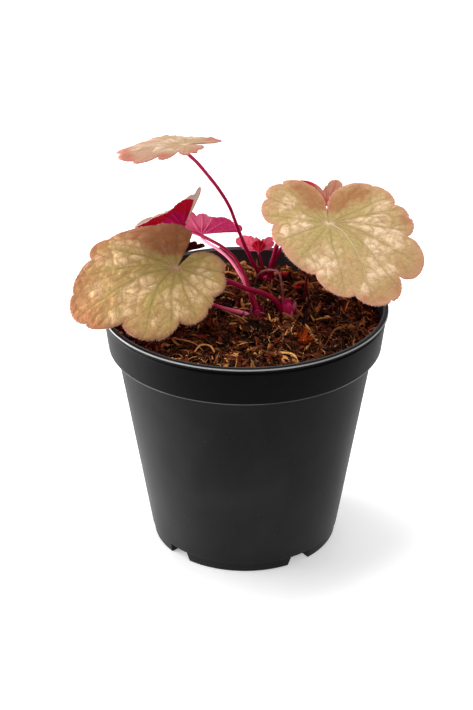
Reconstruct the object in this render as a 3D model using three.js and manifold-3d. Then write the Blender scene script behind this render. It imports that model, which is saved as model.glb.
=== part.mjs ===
// A young heuchera in a 12 cm nursery pot. Millimetres, +Z up. The origin is the middle of the pot's
// underside, on the surface that it stands on. The front is -Y. Directions round the pot are degrees
// from -Y towards +X.
import * as THREE from 'three';
import { mergeVertices } from 'three/addons/utils/BufferGeometryUtils.js';
import Module from 'manifold-3d';

const wasm = await Module();
wasm.setup();

// ---------------------------------------------------------------- driving dimensions
const CLEARANCE = 0.3; // between neighbours that touch

const POT = {
  height: 107.5,
  lipRadius: 60,
  lipHeight: 1.7,
  lipWidth: 2.2,
  grooveDepth: 1.3,
  grooveHeight: 0.7,
  bandTopRadius: 59.2,
  bandBottomRadius: 57.5,
  bandBottom: 90.3,
  bodyTopRadius: 54.2,
  baseRadius: 39.8,
  footHeight: 4.6,
  footInset: 0.5,
  footRound: 0.8,
  bandStep: 0.9,
  wall: 1.2,
  floor: 1.2,
  segments: 44,
};

const NOTCH = {
  height: 4.2,
  width: 11.5,
  slant: 3.6,
  reachIn: 11,
  overrun: 6,
  turn: -4.5,
  positions: [-39.6, 39.6, 140.4, -140.4],
  drainWidth: 3,
  drainLength: 6.5,
  drainInset: 7,
};

const SOIL = {
  top: 99.6,
  crownRise: 1.2,
  lumpHeight: 1.1,
  segments: 40,
  rings: 7,
  chips: 44,
  chipLength: [4, 10],
  chipStand: 1,
  chipDepth: 4,
  chipField: 50, // radius of the circle that they lie in
  chipTilt: 0.5,
  chipSkew: 0.5,
  chipSeed: 7,
};

const BLADE_THICKNESS = 0.9;
const LOBE_ROUNDNESS = 0.6; // lower gives a lobe steeper sides and a flatter crest
const RING_SPREAD = 0.8; // under 1, the rings of a blade lie closer together at its margin
const THROAT_REACH = 2; // what is left of a blade between the two sides of its sinus
const THROAT_STEP = 4; // degrees from the last lobe to the throat
const CREASE = 1.6; // softness of a folded blade's crease

// A blade's frame stands at `joint`, where its stalk meets it. `tip` is the way its midrib points and
// `face` the way its upper side looks. A lobe is [degrees from the midrib, reach at the notch where it
// starts, reach at its crest], and `close` ends the last lobe. The surface rises by `lift`, falls by
// `droop` at the margin, and waves. Both halves of a young blade stand up about its midrib by `fold`
// degrees.
const LEAVES = {
  left: {
    joint: [-28.2, -4, 125.5], tip: [-0.71, -0.71, 0], face: [0, -0.375, 0.927],
    span: 42, lift: 3, droop: 8, wave: 1.1, waves: 5, phase: 0.6, fold: 0, samples: 4, rings: 4,
    lobes: [
      [-150, 21, 26.5], [-113, 27.2, 32.3], [-77, 35.4, 39], [-55, 36.3, 41.5], [-31, 43.3, 46.8],
      [-8, 44.2, 42.6], [10, 34.9, 38.6], [35, 36.3, 34.5], [51, 27.7, 30], [78, 25.4, 24.8],
      [91, 21.9, 22.3], [131, 18.8, 18],
    ],
    close: [190, 9],
  },
  right: {
    joint: [34.9, 14, 137.7], tip: [0.454, -0.891, 0], face: [0, -0.423, 0.906],
    span: 42, lift: 2, droop: 5, wave: 1.1, waves: 5, phase: 2.1, fold: 0, samples: 4, rings: 4,
    lobes: [
      [-204, 10, 27], [-171, 30, 32.8], [-149, 28.9, 29.2], [-120, 22.9, 24.6], [-88, 23.4, 26.2],
      [-42, 27.4, 36], [-15, 38.4, 46], [2, 46.2, 45.3], [17, 38.8, 43.5], [51, 33, 35.8],
      [68, 34, 33.8], [84, 30.4, 32.8], [110, 29.8, 24.2],
    ],
    close: [147, 12],
  },
  top: {
    joint: [-24.4, 10, 174.1], tip: [-1, -0.09, 0], face: [0, 0.12, 0.993],
    span: 29, lift: 2.5, droop: 6.5, wave: 0.9, waves: 5, phase: 1.2, fold: 0, samples: 4, rings: 4,
    lobes: [
      [-170, 8, 17], [-140, 15, 21.5], [-108, 19, 23], [-78, 20, 23.5], [-48, 21, 25], [-20, 23, 28],
      [6, 25.5, 28.5], [30, 24.5, 24.8], [51, 17.5, 20.4], [74, 12, 16.4], [96, 12.6, 13.4], [116, 9, 9.6],
    ],
    close: [160, 5],
  },
  folded: {
    joint: [-26.4, 32, 130.1], tip: [-0.99, -0.12, -0.1], face: [-0.06, 0, 1],
    span: 20, lift: 0.6, droop: 0.6, wave: 0.3, waves: 4, phase: 0.4, fold: 66, samples: 3, rings: 4,
    lobes: [
      [-124, 13, 18.6], [-115, 14.8, 13.8], [-100, 12, 11.2], [-84, 10, 9.1], [-60, 8.7, 9.8],
      [-40, 10.4, 12], [-25, 13.2, 17], [-8, 20, 21], [8, 19.4, 17], [20, 15.8, 14.8],
      [36, 13.5, 12.7], [56, 12, 12.4], [72, 12.8, 14.4], [88, 15.2, 16.6],
    ],
    close: [108, 15.8],
  },
  pink: {
    joint: [-18.5, 40, 122.4], tip: [0.995, -0.06, -0.075], face: [0, 0.53, 0.85],
    span: 16, lift: 0.8, droop: 0.8, wave: 0.3, waves: 3, phase: 1.9, fold: 52, samples: 3, rings: 4,
    lobes: [
      [-160, 4.5, 9.4], [-134, 10.2, 13.2], [-104, 9.6, 10.9], [-74, 9.9, 10.4], [-52, 11.2, 14],
      [-21, 14.9, 17.8], [-3, 15.8, 15.2], [14, 13.6, 12.8], [38, 10.4, 10.6], [66, 9, 9.6], [98, 8, 8.4],
    ],
    close: [134, 6],
  },
  small: {
    joint: [6.2, 42, 113.5], tip: [0, -0.44, 0.9], face: [0, 0.9, 0.44],
    span: 9, lift: 3.4, droop: 1.2, wave: 0.5, waves: 5, phase: 0, fold: 0, samples: 3, rings: 3,
    lobes: [
      [-128, 3.6, 6.4], [-88, 6.8, 10.8], [-56, 8.8, 9.6], [-36, 7.8, 8.1], [-18, 5.8, 6.7], [-3, 5.4, 5.2],
      [12, 4, 5.6], [26, 5.2, 8.4], [56, 7, 6.4],
    ],
    close: [112, 3],
  },
  behind: {
    joint: [36.3, 46, 134.4], tip: [0, 0.1, 1], face: [0, 1, -0.1],
    span: 13, lift: 1.5, droop: 2, wave: 0.7, waves: 3, phase: 0.9, fold: 0, samples: 3, rings: 3,
    lobes: [
      [-146, 6, 10], [-110, 9, 13], [-76, 11, 15.8], [-47, 15.2, 10.6], [-25, 5.6, 6.9], [-4, 7.6, 10.5],
      [41, 9.1, 10.2], [66, 9.4, 10.8], [104, 8.6, 9],
    ],
    close: [146, 5],
  },
  rear: {
    joint: [-32.6, 45, 108.9], tip: [0.745, 0.655, -0.06], face: [0.04, 0.02, 1],
    span: 20, lift: 0.6, droop: 0.6, wave: 0.3, waves: 4, phase: 2.6, fold: 72, samples: 3, rings: 4,
    lobes: [
      [-150, 5, 8.2], [-118, 7.6, 9.8], [-88, 8.8, 10.8], [-60, 10, 11.9], [-38, 11, 14.2],
      [-15, 14.6, 19.4], [8, 13.6, 11], [30, 8, 7.4], [60, 6.6, 7], [94, 6, 6.6],
    ],
    close: [132, 5.5],
  },
  young: {
    joint: [22, 42, 122], tip: [0.5, -0.6, 0.3], face: [-0.2, -0.35, 0.92],
    span: 8, lift: 2.4, droop: 0.8, wave: 0.4, waves: 3, phase: 0, fold: 0, samples: 3, rings: 3,
    lobes: [
      [-140, 4, 6.6], [-92, 6, 7.6], [-50, 6.4, 8.2], [-12, 6.8, 8.4], [26, 6.6, 8], [64, 6, 7.2],
      [102, 5, 5.6],
    ],
    close: [140, 4],
  },
};

// A stalk runs from inside its crown through `route` and ends square under its blade's joint.
const STALKS = {
  left: {
    radius: 1.05, foot: 1.5,
    route: [[16.6, 1, 96.5], [16.3, 0.9, 100.4], [15.5, 0.8, 103.2], [13, 0.7, 108], [8.1, 0.5, 111.7],
      [0.1, 0, 114.5], [-7.9, -0.6, 118.3], [-18, -2.6, 121.6]],
  },
  right: {
    radius: 1.1, foot: 1.3,
    route: [[10.6, 37, 100], [11.1, 36.8, 106], [12.6, 36.4, 112.4], [14.2, 35.6, 119], [19.5, 30, 127],
      [27, 21, 132.6]],
  },
  top: {
    radius: 0.76, foot: 1.1,
    route: [[8.2, 37.8, 100], [6.2, 35.9, 105], [2.8, 33.1, 112.9], [-0.2, 30.2, 121], [-3.5, 26.8, 131.5],
      [-6.5, 23.3, 141.4], [-11.1, 19.6, 151.1], [-14.8, 17, 157.3], [-19.5, 13.8, 164.7]],
  },
  folded: {
    radius: 0.84, foot: 2.1,
    route: [[5.2, 1.2, 99.5], [4.9, 2.6, 103], [3.6, 4.8, 106.6], [1.9, 7, 110.6], [-0.2, 9.8, 115.8],
      [-4, 13.9, 121.4], [-8.9, 18.2, 124.8], [-14.4, 22.6, 126.4], [-20, 27, 127.4]],
  },
  pink: {
    radius: 0.8, foot: 1,
    route: [[3.6, 5.8, 99.5], [3.5, 6.8, 102.6], [2.4, 9.2, 106.2], [0, 13.2, 110.4], [-3.3, 17.8, 114.9],
      [-6.9, 22.4, 118.2], [-12, 28.6, 120], [-15.6, 33.4, 120.2]],
  },
  small: {
    radius: 0.6, foot: 0.8,
    route: [[8.2, 41.4, 100], [7.7, 41.4, 103.9], [7.4, 41.6, 107], [6.6, 42, 110.4]],
  },
  behind: {
    radius: 0.6, foot: 0.75,
    route: [[24.9, 16.6, 94], [25.1, 17, 100], [26.1, 19.4, 107.8], [27.4, 23, 114.5], [31, 28.4, 124.2],
      [34.6, 33.2, 131.4], [35.7, 37.4, 134.2]],
  },
  rear: {
    radius: 0.95, foot: 1.3,
    route: [[3.8, 0.4, 99], [1.2, 0.9, 101.6], [-4.3, 2, 102.9], [-8.9, 3.6, 103.4], [-14.4, 6, 104.4],
      [-22, 12, 106.2], [-28.8, 25, 106.8], [-31.8, 36, 105.6], [-32.5, 41.6, 105.2]],
  },
  young: {
    radius: 0.85, foot: 1.1,
    route: [[11.8, 40.8, 100], [12.2, 40.6, 106], [14.1, 40.8, 111.4], [16.6, 41.2, 115.4]],
  },
};
const STALK_SIDES = 7;
const FLARE_SHARE = 0.4; // the part of a stalk over which its foot narrows
const STALK_STEP = 5.5; // mm between two rings of a stalk
const STALK_DROP = 2.2; // mm that a stalk runs square to its blade

// A crown is a turned sheath: radius at each height over the soil line.
const CROWNS = {
  left: {
    at: [5.2, 1.4],
    profile: [[2.4, -9], [2.8, -4], [2.8, 0], [2.4, 2.6], [1.7, 4.6], [0, 5.6]],
  },
  right: {
    at: [18.3, 1.8],
    profile: [[2.2, -9], [2.6, -4], [2.7, -0.6], [3, 2.4], [2.8, 5.8], [1.9, 8.8], [0, 10.8]],
  },
  rear: {
    at: [9.8, 39.4],
    profile: [[2.6, -9], [3.6, -4], [4.4, 0], [3.8, 2.4], [2.6, 3.8], [0, 4.4]],
  },
};
const CROWN_SIDES = 12;

const WITHERED = {
  radius: 0.55,
  sides: 5,
  route: [[3.2, 32.2, 95], [3.8, 31.8, 100], [5.1, 31, 104.6], [6.3, 29.5, 107.6], [8.7, 27, 110.3],
    [12.3, 23, 112.4], [14.4, 19, 113.1], [15.5, 14.5, 111.3], [16, 10.4, 107], [16.2, 9.2, 100],
    [16.2, 9, 95]],
};

const DEAD_LEAF_THICKNESS = 0.7;
const DEAD_LEAF_CELLS = { along: 6, across: 4 };
const DEAD_LEAF_CRINKLE = 0.35;

// A dead leaf: where its middle lies, its length and width, the turn of its midrib, how far its ends
// curl up, and how far its sides roll up.
const DEAD_LEAVES = {
  right: { at: [23.6, -24, 100.6], length: 11, width: 7.5, turn: 108, curl: 2.4, roll: 2.4, lean: 16 },
  front: { at: [3.6, -12.6, 101], length: 15, width: 10, turn: 22, curl: 1.4, roll: 1.9, lean: 8 },
  left: { at: [-10.4, -12.2, 101], length: 13, width: 6, turn: -24, curl: 1.6, roll: 1.4, lean: -8 },
};

const PLASTIC = new THREE.MeshStandardMaterial({ color: 0x2a2b2d, roughness: 0.55, metalness: 0 });
const COMPOST = new THREE.MeshStandardMaterial({ color: 0x3b2417, roughness: 0.95, metalness: 0 });
const MATURE_BLADE = new THREE.MeshStandardMaterial({ color: 0xb39a68, roughness: 0.6, metalness: 0 });
const ROSE_BLADE = new THREE.MeshStandardMaterial({ color: 0xd9ab8c, roughness: 0.6, metalness: 0 });
const RED_BLADE = new THREE.MeshStandardMaterial({ color: 0xa3142a, roughness: 0.55, metalness: 0 });
const PINK_BLADE = new THREE.MeshStandardMaterial({ color: 0xc23b74, roughness: 0.55, metalness: 0 });
const MAROON_BLADE = new THREE.MeshStandardMaterial({ color: 0x4a1020, roughness: 0.6, metalness: 0 });
const MAGENTA_STALK = new THREE.MeshStandardMaterial({ color: 0x9c1244, roughness: 0.4, metalness: 0 });
const DEAD_TISSUE = new THREE.MeshStandardMaterial({ color: 0x8a4a24, roughness: 0.85, metalness: 0 });

// ---------------------------------------------------------------- small helpers
const radians = (degrees) => THREE.MathUtils.degToRad(degrees);
const vector = ([x, y, z]) => new THREE.Vector3(x, y, z);

function seededRandom(seed) {
  let state = seed;
  return () => {
    state = (Math.imul(state, 1664525) + 1013904223) >>> 0;
    return state / 4294967296;
  };
}

function toSolid(geometry) {
  const bare = geometry.clone();
  for (const name of Object.keys(bare.attributes)) {
    if (name !== 'position') bare.deleteAttribute(name);
  }
  const merged = mergeVertices(bare, 1e-4);
  return new wasm.Manifold(new wasm.Mesh({
    numProp: 3,
    vertProperties: new Float32Array(merged.attributes.position.array),
    triVerts: new Uint32Array(merged.index.array),
  }));
}

function toGeometry(solid) {
  const mesh = solid.getMesh();
  const geometry = new THREE.BufferGeometry();
  geometry.setAttribute('position', new THREE.BufferAttribute(new Float32Array(mesh.vertProperties), 3));
  geometry.setIndex(new THREE.BufferAttribute(new Uint32Array(mesh.triVerts), 1));
  geometry.computeVertexNormals();
  return geometry;
}

function turned(profile, segments) {
  return new THREE.LatheGeometry(profile.map(([r, z]) => new THREE.Vector2(r, z)), segments)
    .rotateX(Math.PI / 2);
}

// ---------------------------------------------------------------- pot
function outerProfile() {
  const foot = POT.baseRadius + POT.footInset;
  const lipBottom = POT.height - POT.lipHeight;
  return [
    [0, 0], [POT.baseRadius - POT.footRound, 0], [POT.baseRadius, POT.footRound],
    [foot - 0.1, POT.footHeight], [foot + 0.5, POT.footHeight + 0.3],
    [POT.bodyTopRadius, POT.bandBottom - POT.bandStep],
    [POT.bandBottomRadius, POT.bandBottom], [POT.bandTopRadius, lipBottom - POT.grooveHeight - 0.5],
    [POT.lipRadius - POT.grooveDepth, lipBottom - POT.grooveHeight],
    [POT.lipRadius - POT.grooveDepth, lipBottom], [POT.lipRadius - 0.3, lipBottom + 0.2],
    [POT.lipRadius, lipBottom + 0.8], [POT.lipRadius - 0.5, POT.height], [0, POT.height],
  ];
}

// Radius of the pot's inside at a height within the rim band.
function bandInnerRadius(height) {
  const bottom = POT.bandBottomRadius - POT.wall;
  const top = POT.lipRadius - POT.lipWidth;
  return THREE.MathUtils.mapLinear(height, POT.bandBottom, POT.height, bottom, top);
}

// The pot's inside from the middle of its floor to `top`, drawn in by `shrink`.
function innerProfile(shrink, top) {
  const wall = POT.wall + shrink;
  const floor = POT.floor + shrink;
  const ledge = POT.bandBottom + POT.wall + shrink;
  return [
    [0, floor], [POT.baseRadius - wall - 0.6, floor], [POT.baseRadius - wall + 0.4, floor + 2],
    [POT.bodyTopRadius - wall, ledge - POT.bandStep], [POT.bandBottomRadius - wall, ledge],
    [bandInnerRadius(Math.min(top, POT.height)) - shrink, top],
  ];
}

// A notch is a block with one upright and one slanted side, run in through the wall of the foot.
function notchBlock(position, grow) {
  const half = NOTCH.width / 2 + grow;
  const mirror = position > 0 === Math.abs(position) < 90 ? 1 : -1;
  const top = NOTCH.height + grow;
  const outline = new THREE.Shape([
    new THREE.Vector2(-mirror * (half + NOTCH.slant / 2), -NOTCH.overrun),
    new THREE.Vector2(mirror * half, -NOTCH.overrun),
    new THREE.Vector2(mirror * half, top),
    new THREE.Vector2(-mirror * (half - NOTCH.slant / 2), top),
  ]);
  const start = POT.baseRadius - NOTCH.reachIn - grow;
  const depth = NOTCH.reachIn + grow + NOTCH.overrun;
  return new THREE.ExtrudeGeometry(outline, { depth, bevelEnabled: false })
    .translate(0, 0, start)
    .rotateX(Math.PI / 2)
    .rotateZ(radians(NOTCH.turn + position));
}

function drainSlot(position) {
  const radius = POT.baseRadius - NOTCH.drainInset;
  return new THREE.BoxGeometry(NOTCH.drainWidth, NOTCH.drainLength, 4)
    .translate(0, -radius, NOTCH.height)
    .rotateZ(radians(NOTCH.turn + position));
}

function potSolid() {
  let cavity = toSolid(turned([...innerProfile(0, POT.height), [0, POT.height]], POT.segments));
  for (const position of NOTCH.positions) {
    cavity = cavity.subtract(toSolid(notchBlock(position, POT.wall)));
  }
  let pot = toSolid(turned(outerProfile(), POT.segments)).subtract(cavity);
  for (const position of NOTCH.positions) {
    pot = pot.subtract(toSolid(notchBlock(position, 0))).subtract(toSolid(drainSlot(position)));
  }
  return pot;
}

// ---------------------------------------------------------------- crowns
function crownSolid(crown, grow) {
  const rows = crown.profile.map(([radius, height]) => [
    radius === 0 ? 0 : radius + grow,
    SOIL.top + height + (radius === 0 ? grow : 0),
  ]);
  rows[0][1] -= grow;
  const foot = [0, rows[0][1]];
  return toSolid(turned([foot, ...rows], CROWN_SIDES).translate(...crown.at, 0));
}

// ---------------------------------------------------------------- stalks
function stalkEnd(leaf) {
  const joint = vector(leaf.joint);
  const face = vector(leaf.face).normalize();
  return [joint.clone().addScaledVector(face, -STALK_DROP), joint];
}

// A round bar along a smooth curve. Its radius goes from `foot` to `radius` over its flare.
function bar(points, radius, foot, sides) {
  const curve = new THREE.CatmullRomCurve3(points, false, 'centripetal');
  const steps = Math.max(6, Math.round(curve.getLength() / STALK_STEP));
  const frames = curve.computeFrenetFrames(steps, false);
  const positions = [];
  for (let i = 0; i <= steps; i += 1) {
    const t = i / steps;
    const flare = Math.max(0, 1 - t / FLARE_SHARE);
    const r = radius + (foot - radius) * flare * flare;
    const centre = curve.getPointAt(t);
    for (let side = 0; side < sides; side += 1) {
      const angle = (2 * Math.PI * side) / sides;
      const point = centre.clone()
        .addScaledVector(frames.normals[i], r * Math.cos(angle))
        .addScaledVector(frames.binormals[i], r * Math.sin(angle));
      positions.push(point.x, point.y, point.z);
    }
  }
  const index = [];
  for (let i = 0; i < steps; i += 1) {
    for (let side = 0; side < sides; side += 1) {
      const a = i * sides + side;
      const b = i * sides + ((side + 1) % sides);
      index.push(a, b, b + sides, a, b + sides, a + sides);
    }
  }
  for (let side = 1; side < sides - 1; side += 1) {
    index.push(0, side + 1, side);
    const last = steps * sides;
    index.push(last, last + side, last + side + 1);
  }
  const geometry = new THREE.BufferGeometry();
  geometry.setAttribute('position', new THREE.Float32BufferAttribute(positions, 3));
  geometry.setIndex(index);
  return geometry;
}

// ---------------------------------------------------------------- blades
// The outline in polar form: each lobe swells from notch to notch, steep at its ends and round at its
// crest.
function outline(leaf) {
  const rows = [...leaf.lobes, leaf.close];
  const points = [];
  leaf.lobes.forEach(([start, reach, crest], i) => {
    const [end, endReach] = rows[i + 1];
    for (let j = 0; j < leaf.samples; j += 1) {
      const t = j / leaf.samples;
      const base = THREE.MathUtils.lerp(reach, endReach, t);
      const swell = (crest - (reach + endReach) / 2) * (4 * t * (1 - t)) ** LOBE_ROUNDNESS;
      points.push([THREE.MathUtils.lerp(start, end, t), base + swell]);
    }
  });
  points.push(leaf.close);
  points.push([leaf.close[0] + THROAT_STEP, THROAT_REACH]);
  points.push([leaf.lobes[0][0] + 360 - THROAT_STEP, THROAT_REACH]);
  return points;
}

// Height of the blade over its joint's plane at `reach` mm and `angle` degrees from the midrib.
function bladeHeight(leaf, angle, reach) {
  const s = reach / leaf.span;
  const ripple = Math.sin(leaf.waves * radians(angle) + leaf.phase);
  return leaf.lift * s - leaf.droop * s * s + leaf.wave * s * s * ripple;
}

// A point of the blade in its own frame, `offset` mm over its middle surface. The two halves turn up
// about the midrib by `fold` degrees, with a soft crease between them.
function bladePoint(leaf, angle, reach, offset) {
  const along = reach * Math.cos(radians(angle));
  const across = reach * Math.sin(radians(angle));
  const height = bladeHeight(leaf, angle, reach) + offset;
  const slope = Math.hypot(across, CREASE);
  const sine = Math.sin(radians(leaf.fold));
  const cosine = Math.cos(radians(leaf.fold));
  return new THREE.Vector3(
    along,
    across * cosine - (across / slope) * height * sine,
    (slope - CREASE) * sine + height * cosine + (1 - cosine) * height * (CREASE / slope),
  );
}

function bladeFrame(leaf) {
  const face = vector(leaf.face).normalize();
  const tip = vector(leaf.tip);
  tip.addScaledVector(face, -tip.dot(face)).normalize();
  const side = new THREE.Vector3().crossVectors(face, tip);
  return new THREE.Matrix4().makeBasis(tip, side, face).setPosition(...leaf.joint);
}

// The middle surface as a fan of rings, then the same triangles on both faces and a band round the margin.
function bladeSolid(leaf, thickness) {
  const edge = outline(leaf);
  const count = edge.length;
  const polar = [[0, 0]];
  for (let ring = 1; ring <= leaf.rings; ring += 1) {
    const share = (ring / leaf.rings) ** RING_SPREAD;
    for (const [angle, reach] of edge) polar.push([angle, reach * share]);
  }
  const faces = [];
  for (let i = 0; i < count; i += 1) {
    const next = (i + 1) % count;
    faces.push([0, 1 + i, 1 + next]);
    for (let ring = 0; ring < leaf.rings - 1; ring += 1) {
      const a = 1 + ring * count + i;
      const b = 1 + ring * count + next;
      faces.push([a, a + count, b + count], [a, b + count, b]);
    }
  }
  const total = polar.length;
  const frame = bladeFrame(leaf);
  const positions = [];
  for (const half of [thickness / 2, -thickness / 2]) {
    for (const [angle, reach] of polar) {
      const point = bladePoint(leaf, angle, reach, half).applyMatrix4(frame);
      positions.push(point.x, point.y, point.z);
    }
  }
  const index = [];
  for (const [a, b, c] of faces) {
    index.push(a, b, c, a + total, c + total, b + total);
  }
  const rim = 1 + (leaf.rings - 1) * count;
  for (let i = 0; i < count; i += 1) {
    const a = rim + i;
    const b = rim + ((i + 1) % count);
    index.push(a, a + total, b + total, a, b + total, b);
  }
  const geometry = new THREE.BufferGeometry();
  geometry.setAttribute('position', new THREE.Float32BufferAttribute(positions, 3));
  geometry.setIndex(index);
  return toSolid(geometry);
}

// ---------------------------------------------------------------- soil
// Height of the compost's top: a low mound to the middle with lumps of two sizes.
function soilHeight(x, y) {
  const distance = Math.hypot(x, y) / POT.bandBottomRadius;
  const mound = SOIL.crownRise * (1 - distance * distance);
  const coarse = Math.sin(x * 0.21 + 1.3) * Math.cos(y * 0.24 - 0.4) + Math.sin(x * 0.11 - y * 0.17);
  const fine = Math.sin(x * 0.61 + y * 0.35) * Math.sin(y * 0.57 - x * 0.28 + 1.1);
  return mound + SOIL.lumpHeight * (0.45 * coarse + 0.4 * fine) * (1 - 0.5 * distance ** 4);
}

function soilBody() {
  const wall = innerProfile(CLEARANCE, SOIL.top);
  const [edge] = wall[wall.length - 1];
  const rings = [];
  for (let ring = SOIL.rings - 1; ring >= 0; ring -= 1) {
    rings.push([(edge * ring) / SOIL.rings, SOIL.top]);
  }
  const geometry = turned([...wall, ...rings], SOIL.segments);
  const position = geometry.attributes.position;
  for (let i = 0; i < position.count; i += 1) {
    if (position.getZ(i) > SOIL.top - 1e-3) {
      position.setZ(i, SOIL.top + soilHeight(position.getX(i), position.getY(i)));
    }
  }
  return toSolid(geometry);
}

// Bark chips: skewed blocks tipped at random and sunk well into the compost.
function barkChips() {
  const random = seededRandom(SOIL.chipSeed);
  const chips = [];
  for (let i = 0; i < SOIL.chips; i += 1) {
    const radius = SOIL.chipField * Math.sqrt(random());
    const around = 2 * Math.PI * random();
    const [x, y] = [radius * Math.cos(around), radius * Math.sin(around)];
    const length = THREE.MathUtils.lerp(SOIL.chipLength[0], SOIL.chipLength[1], random() ** 2);
    const stand = SOIL.chipStand * (0.6 + 0.8 * random());
    const width = length * (0.3 + 0.35 * random());
    const chip = new THREE.BoxGeometry(length, width, SOIL.chipDepth)
      .translate(0, 0, stand - SOIL.chipDepth / 2);
    const corners = chip.attributes.position;
    const skew = SOIL.chipSkew * (random() - 0.5);
    for (let k = 0; k < corners.count; k += 1) {
      const across = corners.getY(k);
      const taper = 1 - 0.5 * Math.sign(across) * skew;
      corners.setX(k, corners.getX(k) * taper + across * skew);
    }
    chip.rotateX(SOIL.chipTilt * (random() - 0.5))
      .rotateY(SOIL.chipTilt * (random() - 0.5))
      .rotateZ(2 * Math.PI * random());
    chip.translate(x, y, SOIL.top + soilHeight(x, y));
    chips.push(toSolid(chip));
  }
  return chips;
}

// ---------------------------------------------------------------- dead leaves on the soil
function deadLeafSolid(leaf) {
  const { along, across } = DEAD_LEAF_CELLS;
  const positions = [];
  for (const half of [DEAD_LEAF_THICKNESS / 2, -DEAD_LEAF_THICKNESS / 2]) {
    for (let i = 0; i <= along; i += 1) {
      const u = (2 * i) / along - 1;
      const width = (leaf.width / 2) * (0.12 + 0.88 * Math.sqrt(Math.max(0, 1 - u * u)));
      for (let j = 0; j <= across; j += 1) {
        const v = (2 * j) / across - 1;
        positions.push((u * leaf.length) / 2, v * width * (1 - 0.1 * v * v),
          leaf.curl * u * u + leaf.roll * v * v + half + DEAD_LEAF_CRINKLE * Math.sin(4 * u + 2 * v));
      }
    }
  }
  const index = [];
  const row = across + 1;
  const total = row * (along + 1);
  for (let i = 0; i < along; i += 1) {
    for (let j = 0; j < across; j += 1) {
      const a = i * row + j;
      index.push(a, a + row, a + row + 1, a, a + row + 1, a + 1);
      index.push(a + total, a + row + 1 + total, a + row + total);
      index.push(a + total, a + 1 + total, a + row + 1 + total);
    }
  }
  const border = [];
  for (let i = 0; i < along; i += 1) border.push(i * row);
  for (let j = 0; j < across; j += 1) border.push(along * row + j);
  for (let i = along; i > 0; i -= 1) border.push(i * row + across);
  for (let j = across; j > 0; j -= 1) border.push(j);
  border.forEach((a, i) => {
    const b = border[(i + 1) % border.length];
    index.push(a, a + total, b + total, a, b + total, b);
  });
  const geometry = new THREE.BufferGeometry();
  geometry.setAttribute('position', new THREE.Float32BufferAttribute(positions, 3));
  geometry.setIndex(index);
  geometry.rotateX(radians(leaf.lean)).rotateZ(radians(leaf.turn)).translate(...leaf.at);
  return toSolid(geometry);
}

// ---------------------------------------------------------------- assembly
const plant = new THREE.Group();
plant.name = 'heuchera_in_pot';

function add(name, solid, material) {
  const mesh = new THREE.Mesh(toGeometry(solid), material);
  mesh.name = name;
  plant.add(mesh);
}

const BLADE_FINISH = {
  left: MATURE_BLADE, right: MATURE_BLADE, top: ROSE_BLADE, folded: RED_BLADE, pink: PINK_BLADE,
  small: RED_BLADE, behind: RED_BLADE, rear: MAROON_BLADE, young: PINK_BLADE,
};

const sheaths = Object.values(CROWNS).map((crown) => crownSolid(crown, CLEARANCE));
let soil = soilBody();
for (const chip of barkChips()) soil = soil.add(chip);
for (const position of NOTCH.positions) {
  soil = soil.subtract(toSolid(notchBlock(position, POT.wall + CLEARANCE)));
}
for (const sheath of sheaths) soil = soil.subtract(sheath);

for (const [name, stalk] of Object.entries(STALKS)) {
  const leaf = LEAVES[name];
  const points = [...stalk.route.map(vector), ...stalkEnd(leaf)];
  let solid = toSolid(bar(points, stalk.radius, stalk.foot, STALK_SIDES));
  for (const sheath of sheaths) solid = solid.subtract(sheath);
  const hole = bar(points, stalk.radius + CLEARANCE, stalk.foot + CLEARANCE, STALK_SIDES);
  soil = soil.subtract(toSolid(hole));
  solid = solid.subtract(bladeSolid(leaf, BLADE_THICKNESS + 2 * CLEARANCE));
  add(`petiole_${name}`, solid, MAGENTA_STALK);
  add(`leaf_${name}`, bladeSolid(leaf, BLADE_THICKNESS), BLADE_FINISH[name]);
}

for (const [name, crown] of Object.entries(CROWNS)) {
  add(`crown_${name}`, crownSolid(crown, 0), MAGENTA_STALK);
}

function witheredSolid(radius) {
  return toSolid(bar(WITHERED.route.map(vector), radius, radius, WITHERED.sides));
}

add('withered_stem', witheredSolid(WITHERED.radius), DEAD_TISSUE);
soil = soil.subtract(witheredSolid(WITHERED.radius + CLEARANCE));

const ground = soil.translate(0, 0, CLEARANCE);
for (const [name, leaf] of Object.entries(DEAD_LEAVES)) {
  let solid = deadLeafSolid(leaf).subtract(ground).subtract(soil);
  for (const sheath of sheaths) solid = solid.subtract(sheath);
  add(`dry_leaf_${name}`, solid, DEAD_TISSUE);
}

add('soil', soil, COMPOST);
add('pot', potSolid(), PLASTIC);

export default plant;
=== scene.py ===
"""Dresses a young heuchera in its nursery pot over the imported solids.

Lengths are millimetres until a mesh is made, which turns them into metres. +Z is up and -Y is the front.
"""
import logging
import math
from dataclasses import dataclass, field
from enum import Enum
from itertools import product
from typing import Any, Sequence, Union

import bpy
import numpy as np
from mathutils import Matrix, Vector


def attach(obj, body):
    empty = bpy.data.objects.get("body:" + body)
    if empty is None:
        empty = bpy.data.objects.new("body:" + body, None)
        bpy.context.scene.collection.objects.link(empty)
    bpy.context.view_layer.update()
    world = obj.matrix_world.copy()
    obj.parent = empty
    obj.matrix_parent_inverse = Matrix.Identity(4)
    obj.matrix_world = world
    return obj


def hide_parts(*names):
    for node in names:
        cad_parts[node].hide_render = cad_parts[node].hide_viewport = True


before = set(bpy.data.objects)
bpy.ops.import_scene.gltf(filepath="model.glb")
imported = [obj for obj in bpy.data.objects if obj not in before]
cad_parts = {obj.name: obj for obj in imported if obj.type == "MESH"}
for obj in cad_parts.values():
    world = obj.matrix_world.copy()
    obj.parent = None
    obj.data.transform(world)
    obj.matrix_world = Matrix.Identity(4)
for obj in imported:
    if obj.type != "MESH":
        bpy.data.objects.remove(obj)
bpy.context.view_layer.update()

MM = 0.001
CHART_SCALE = 0.01  # chart units per millimetre on a surface's own map
BAR_GIRTH = 6.0  # millimetres of chart round a bar
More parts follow.
